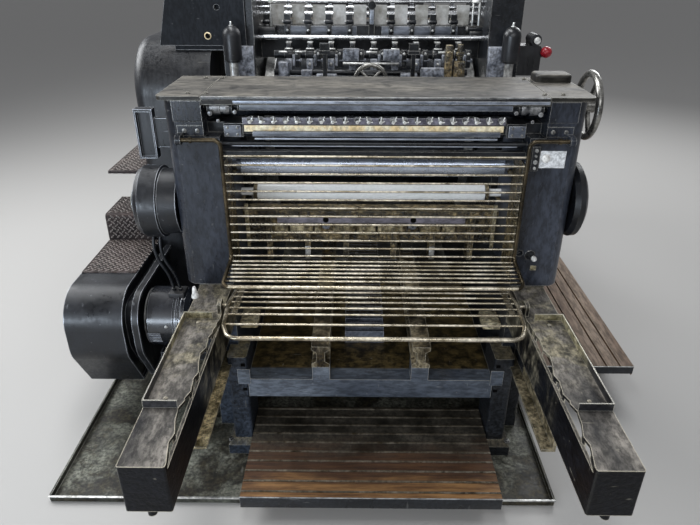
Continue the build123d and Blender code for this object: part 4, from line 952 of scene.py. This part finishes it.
for number in (-5, -4, -3, -2, -1, 1, 2, 3, 4, 5):
    x = number * clamp_pitch
    rail_clamps += [block((x - 0.010, 0.780, 1.392), (x + 0.010, 0.800, 1.432), 0.003),
                    rod((x - 0.016, 0.782, 1.441), (x + 0.016, 0.782, 1.441), 0.0075)]
    clamp_pins += [rod((x - 0.019, 0.782, 1.441), (x - 0.0155, 0.782, 1.441), 0.0055),
                   rod((x, 0.775, 1.409), (x, 0.781, 1.409), 0.005, 0.001, 6)]
finished("rail_clamps", rail_clamps, blue_black)
finished("rail_clamp_pins", clamp_pins, worn_steel)
face_plates = [block((low, 0.7868, 1.387), (high, 0.7905, 1.4245), 0.0015)
               for low, high in ((-0.345, -0.055), (0.045, 0.350))]
finished("rail_face_plates", face_plates, steel_grey)
# Painted reflection: a pale bluish plate on the black lever's face stands in for the lever's shine.
finished("rail_lever_sheen_face", [block((-0.003, 0.7795, 1.432), (0.013, 0.7825, 1.488), 0.0015)], pale_grey)


# Grippers and linkage. Two dark shafts with grey fingers and bright springs at the clamps'
# pitch, and small castings and rods in front of them, one pair of them covered in grease.
shafts = [rod((-0.378, 0.690, 1.330), (0.378, 0.690, 1.330), 0.016),
          rod((-0.378, 0.655, 1.268), (0.378, 0.655, 1.268), 0.012)]
finger_grey, finger_bright = [], []
for number in range(-4, 5):
    x = number * clamp_pitch + 0.012
    shafts += [rod((x - 0.017, 0.690, 1.330), (x + 0.017, 0.690, 1.330), 0.0215),
               block((x - 0.009, 0.686, 1.340), (x + 0.009, 0.724, 1.372)),
               block((x + 0.024, 0.655, 1.285), (x + 0.045, 0.685, 1.352), 0.003)]
    finger_grey += [block((x - 0.013, 0.648, 1.262), (x + 0.013, 0.672, 1.318), 0.003),
                    block((x + 0.016, 0.650, 1.292), (x + 0.026, 0.668, 1.334)),
                    rod((x + 0.030, 0.662, 1.312), (x + 0.052, 0.662, 1.312), 0.0075)]
    finger_bright += [block((x - 0.011, 0.690, 1.371), (x + 0.011, 0.722, 1.376), 0.0012),
                      rod((x - 0.015, 0.676, 1.352), (x + 0.016, 0.676, 1.352), 0.0035),
                      rod((x + 0.034, 0.657, 1.338), (x + 0.034, 0.645, 1.338), 0.0055, 0.0008, 6),
                      rod((x, 0.650, 1.300), (x, 0.640, 1.300), 0.006, 0.0008, 6)]
finished("gripper_shafts", shafts, blue_black)
finished("gripper_grey_parts", finger_grey, grey_casting)
finished("gripper_bright_parts", finger_bright, worn_steel)
linkage_rods = [rod((-0.107, 0.612, 1.307), (0.107, 0.612, 1.307), 0.005)]
linkage_rods += [rod((low, 0.632, 1.346), (high, 0.632, 1.346), 0.0045) for low, high in (
    (-0.353, -0.321), (-0.292, -0.262), (-0.018, 0.024), (0.074, 0.110), (0.258, 0.284))]
finished("linkage_rods", linkage_rods, worn_steel)
linkage_plates = [block((-0.108, 0.622, 1.313), (-0.045, 0.634, 1.361), 0.003),
                  block((0.047, 0.622, 1.317), (0.110, 0.634, 1.358), 0.003),
                  block((0.192, 0.602, 1.240), (0.282, 0.620, 1.294), 0.004),
                  block((-0.268, 0.602, 1.240), (-0.226, 0.622, 1.285), 0.004)]
finished("linkage_plates", linkage_plates, grey_casting)
linkage_castings = [block((-0.355, 0.600, 1.236), (-0.315, 0.640, 1.314), 0.006, 3),
                    block((-0.21, 0.604, 1.24), (-0.13, 0.632, 1.268), 0.004),
                    block((0.115, 0.604, 1.24), (0.18, 0.632, 1.272), 0.004)]
finished("linkage_castings", linkage_castings, grey_casting)
greasy_linkage = [block((0.284, 0.606, 1.240), (0.312, 0.636, 1.375), 0.004),
                  block((0.318, 0.600, 1.240), (0.360, 0.630, 1.318), 0.004),
                  rod((0.339, 0.615, 1.318), (0.339, 0.615, 1.378), 0.011),
                  rod((0.298, 0.606, 1.345), (0.298, 0.592, 1.345), 0.011, 0.001, 6),
                  rod((0.339, 0.600, 1.28), (0.339, 0.588, 1.28), 0.012, 0.001, 6),
                  block((0.325, 0.604, 1.335), (0.353, 0.63, 1.35), 0.003)]
finished("greasy_linkage", greasy_linkage, greasy_iron)


# Feeder. Black cast sides at the far end with bearing covers and brass oil cups, a brown feed
# board with cloth tapes under a bar of guide wheels, and suckers with hoses over the pile table.
def slat(start, end, width, thick):
    """Thin flat strip of cloth or sheet from one place to another, its width across the machine."""
    deselect()
    start, end = spot(*start), spot(*end)
    along = end - start
    bpy.ops.mesh.primitive_cube_add(size=1, location=(start + end) / 2, scale=(width, along.length, thick),
                                    rotation=(math.atan2(along.z, along.y), 0, 0))
    return rounded(thick * 0.2, 1)


board_brown = old_finish(
    "board brown", coat=(0.085, 0.050, 0.035), faded_and_sheen=(0.17, 0.112, 0.085), bare=(0.32, 0.25, 0.2),
    grime=(0.20, 0.16, 0.135), gloss=0.45, wear=0.4, dust=0.4, shine=0.35)
tape_cloth = old_finish(
    "feed tape cloth", coat=(0.30, 0.25, 0.17), faded_and_sheen=(0.52, 0.45, 0.32), bare=(0.5, 0.45, 0.35),
    grime=(0.25, 0.2, 0.14), gloss=0.8, wear=0.3, dust=0.5, patches=20.0, shine=0.1)
finish_nodes(board_brown, "feed_board", "delivery_table", "pile_table")
finish_nodes(blue_black, "feeder_sides", "feeder_head")
cover_rings = [(0, 0.060), (0.008, 0.060), (0.012, 0.054), (0.013, 0.030), (0.022, 0.027), (0.024, 0.010)]
small_rings = [(far, radius * 0.75) for far, radius in cover_rings]
bearing_covers = [turned((side * 0.5395, 1.92, 1.16), (side, 0, 0), cover_rings, 40) for side in (-1, 1)]
bearing_covers += [turned((side * 0.5395, 1.90, 0.86), (side, 0, 0), small_rings, 36) for side in (-1, 1)]
finished("feeder_bearing_covers", bearing_covers, smooth_black)
side_bolts("feeder_bolts", 0.5405, [(1.835, 1.24), (1.835, 1.06), (2.06, 1.28), (2.30, 1.16), (2.07, 0.74),
                                    (1.835, 0.74)], 0.022)
cups = [turned((side * 0.492, y, 1.3295), (0, 0, 1),
               [(0, 0.007), (0.006, 0.007), (0.007, 0.013), (0.026, 0.013), (0.030, 0.008)], 24)
        for side in (-1, 1) for y in (1.86, 2.05)]
finished("feeder_oil_cups", cups, brass)
tapes = [slat((x, 1.20, 1.3798), (x, 1.862, 1.2934), 0.022, 0.0012) for x in (-0.30, -0.15, 0.0, 0.15, 0.30)]
finished("feed_tapes", tapes, tape_cloth)
feed_bars = [rod((-0.405, 1.450, 1.401), (0.405, 1.450, 1.401), 0.009),
             rod((-0.405, 1.862, 1.3035), (0.405, 1.862, 1.3035), 0.0095)]
wheels = []
for x in (-0.27, -0.12, 0.12, 0.27):
    feed_bars.append(block((x - 0.006, 1.410, 1.378), (x + 0.006, 1.462, 1.390)))
    wheels.append(turned((x - 0.007, 1.412, 1.3720), (1, 0, 0),
                         [(0, 0.010), (0.001, 0.018), (0.013, 0.018), (0.014, 0.010)], 28))
finished("feed_bars", feed_bars, worn_steel)
finished("feed_wheels", wheels, inked_steel)
spindle_rows = (2.210, 2.321)
supports = both_sides(0.394, 0.412, (1.436, 1.344), (1.464, 1.412), 0.004)
supports += both_sides(0.345, 0.385, (1.240, 1.366), (1.335, 1.390), 0.004)
for y in spindle_rows:
    supports += both_sides(0.404, 0.446, (y - 0.017, 1.226), (y + 0.017, 1.252), 0.004)
finished("feed_supports", supports, blue_black)
spindles = [rod((x, y, 0.448), (x, y, 1.262), 0.009) for x in (-0.4225, 0.4225) for y in spindle_rows]
finished("pile_spindles", spindles, worn_steel)
hoses = [bent_pipe([(x + 0.022, 1.932, 1.425), (x + 0.034, 1.908, 1.420), (x + 0.036, 1.898, 1.390),
                    (x + 0.030, 1.904, 1.362), (x + 0.012, 1.944, 1.350)], 0.006)
         for x in (-0.26, -0.09, 0.09, 0.26)]
finished("sucker_hoses", hoses, inked_steel)
dials = [turned((x, 2.0295, 1.438), (0, 1, 0),
                [(0, 0.010), (0.006, 0.010), (0.007, 0.016), (0.020, 0.0155), (0.023, 0.011)], 24)
         for x in (-0.24, -0.12, 0.0, 0.12, 0.24)]
finished("air_valves", dials, worn_steel)


# Side footboard. Worn planks on bearers along the operator's side, with a black trim in front
# whose upper edge is rubbed bright.
foot_board = old_finish(
    "worn footboard", coat=(0.12, 0.072, 0.045), faded_and_sheen=(0.30, 0.205, 0.14), bare=(0.42, 0.33, 0.25),
    grime=((0.15, 0.10, 0.07), (0.30, 0.235, 0.185)), gloss=0.45, wear=0.5, edge=0.005, dust=0.6,
    patches=8.0, dust_patches=5.0, stretch=(1, 0.15, 1), mottle=0.4, specks=0.5)
finish_nodes(foot_board, "side_footboard")
finished("footboard_trim", [block((0.656, 0.2575, 0.112), (1.1148, 0.2615, 0.1475), 0.0012)], blue_black)
finished("footboard_trim_edge", [rod((0.658, 0.2588, 0.1475), (1.113, 0.2588, 0.1475), 0.0022, 0.0005, 12)],
         worn_steel)


# Front step. A plain wooden step on bearers, its deck oiled black at the back and worn brown
# towards the front, with bright strips let in across it and a steel edge.
def make_front_wear():
    """Mask that grows along one axis from one value to another, with a ragged border."""
    group, given, result = node_group("front wear", dict(Along=(0, 1, 0), From=0.0, To=1.0), "Mask", "Fibre")
    reach = dot_product(group, object_place(group), given["Along"])
    ragged = noise(group, object_place(group, (0.4, 1.0, 1.0)), 9.0, 5.0, 0.65)
    shifted = group.nodes.new("ShaderNodeMath")
    shifted.operation = "MULTIPLY_ADD"
    for place, part in enumerate((ragged, 0.22, reach)):
        feed(group, part, shifted.inputs[place])
    feed(group, remap(group, shifted.outputs[0], given["From"], given["To"]), result["Mask"])
    fibre = noise(group, object_place(group, (0.08, 1.0, 1.0)), 60.0, 6.0, 0.7)
    feed(group, remap(group, fibre, 0.32, 0.7), result["Fibre"])
    return group


front_wear = make_front_wear()
step_wood = old_finish(
    "step wood", coat=(0.010, 0.009, 0.007), faded_and_sheen=(0.035, 0.027, 0.018), bare=(0.2, 0.14, 0.08),
    grime=((0.016, 0.014, 0.010), (0.06, 0.052, 0.04)), gloss=0.34, wear=0.4, dust=0.5, patches=9.0,
    shine=0.4, mottle=0.5, specks=0.6)
tree = step_wood.node_tree
base = tree.nodes["Principled BSDF"].inputs["Base Color"]
for start, end, dark_tone, light_tone in ((0.99, 1.15, (0.030, 0.012, 0.005), (0.095, 0.042, 0.016)),
                                          (1.17, 1.25, (0.09, 0.038, 0.012), (0.33, 0.175, 0.065))):
    wear = place_group(tree, front_wear, Along=(0, -1, 0), From=start, To=end)
    brown = blend_colour(tree, wear["Fibre"], dark_tone, light_tone)
    feed(tree, blend_colour(tree, wear["Mask"], base.links[0].from_socket, brown), base)
strip_steel = old_finish(
    "worn step strips", coat=(0.07, 0.058, 0.042), faded_and_sheen=(0.24, 0.21, 0.165), bare=(0.5, 0.46, 0.38),
    grime=(0.16, 0.135, 0.095), gloss=0.3, wear=0.4, edge=0.001, dust=0.4, metal=0.5, patches=18.0,
    shine=0.5, cover=0.4, grease_patches=16.0, grease=((0.02, 0.015, 0.008), (0.08, 0.055, 0.025)))
finish_nodes(step_wood, "front_step")
finish_nodes(strip_steel, "step_strips")
finished("step_nosing", [block((-0.4305, -0.3945, 0.0545), (0.4305, -0.389, 0.1005), 0.0018)], blue_black)
finished("step_nosing_edge", [rod((-0.430, -0.3925, 0.1003), (0.430, -0.3925, 0.1003), 0.0014, 0.0004, 10)],
         highlight_and_worn_edge)


# Floor, light and camera. A plain pale floor and soft lamps. The camera stands in front of
# the bed end, above head height, tipped down as in the photograph.
deselect()
bpy.ops.mesh.primitive_plane_add(size=60, location=(0, 0, -0.0005))
floor = bpy.context.object
floor.name = "floor"
floor_paint = bpy.data.materials.new("pale floor")
floor_paint.use_nodes = True
shader = floor_paint.node_tree.nodes["Principled BSDF"].inputs
shader["Base Color"].default_value = (0.43, 0.42, 0.405, 1.0)
shader["Roughness"].default_value = 0.6
floor.data.materials.append(floor_paint)

world = bpy.data.worlds.new("soft sky")
bpy.context.scene.world = world
world.use_nodes = True
sky = world.node_tree.nodes["Background"].inputs
sky["Color"].default_value = (0.94, 0.96, 1.0, 1.0)
sky["Strength"].default_value = 0.28

white, bluish = (0.96, 0.98, 1.0), (0.76, 0.87, 1.0)
machine_heart = Vector((0, 0, 0.8))
for name, place, size, power, colour in (
        ("window lamp", (-3.4, 0.6, 3.2), (3.2, 2.2), 160.0, white),
        ("hall lamp", (2.6, 3.5, 3.6), (3.0, 2.0), 135.0, white),
        ("front lamp", (0.2, -4.6, 3.0), (3.6, 1.4), 60.0, white),
        ("low window lamp", (-2.6, -4.4, 1.0), (2.2, 0.8), 80.0, bluish),
        ("strip lamp", (-0.6, -0.2, 3.6), (2.5, 0.5), 60.0, white)):
    lamp = bpy.data.lights.new(name, "AREA")
    lamp.shape = "RECTANGLE"
    lamp.size, lamp.size_y = size
    lamp.energy = power
    lamp.color = colour
    holder = bpy.data.objects.new(name, lamp)
    bpy.context.scene.collection.objects.link(holder)
    holder.location = place
    holder.rotation_euler = (machine_heart - Vector(place)).to_track_quat("-Z", "Y").to_euler()

pitch, yaw, roll = (math.radians(angle) for angle in (27.26, -0.40, -0.17))
forward = Vector((math.sin(yaw) * math.cos(pitch), math.cos(yaw) * math.cos(pitch), -math.sin(pitch)))
level = Vector((math.cos(yaw), -math.sin(yaw), 0))
down = forward.cross(level)
right = math.cos(roll) * level + math.sin(roll) * down
up = -(math.cos(roll) * down - math.sin(roll) * level)
turn = Matrix((right, up, -forward)).transposed().to_4x4()
eye = bpy.data.cameras.new("camera")
eye.sensor_width = 36
eye.lens = 30.76
camera = bpy.data.objects.new("camera", eye)
bpy.context.scene.collection.objects.link(camera)
camera.matrix_world = Matrix.Translation((-0.061, -2.558, 1.680)) @ turn
bpy.context.scene.camera = camera
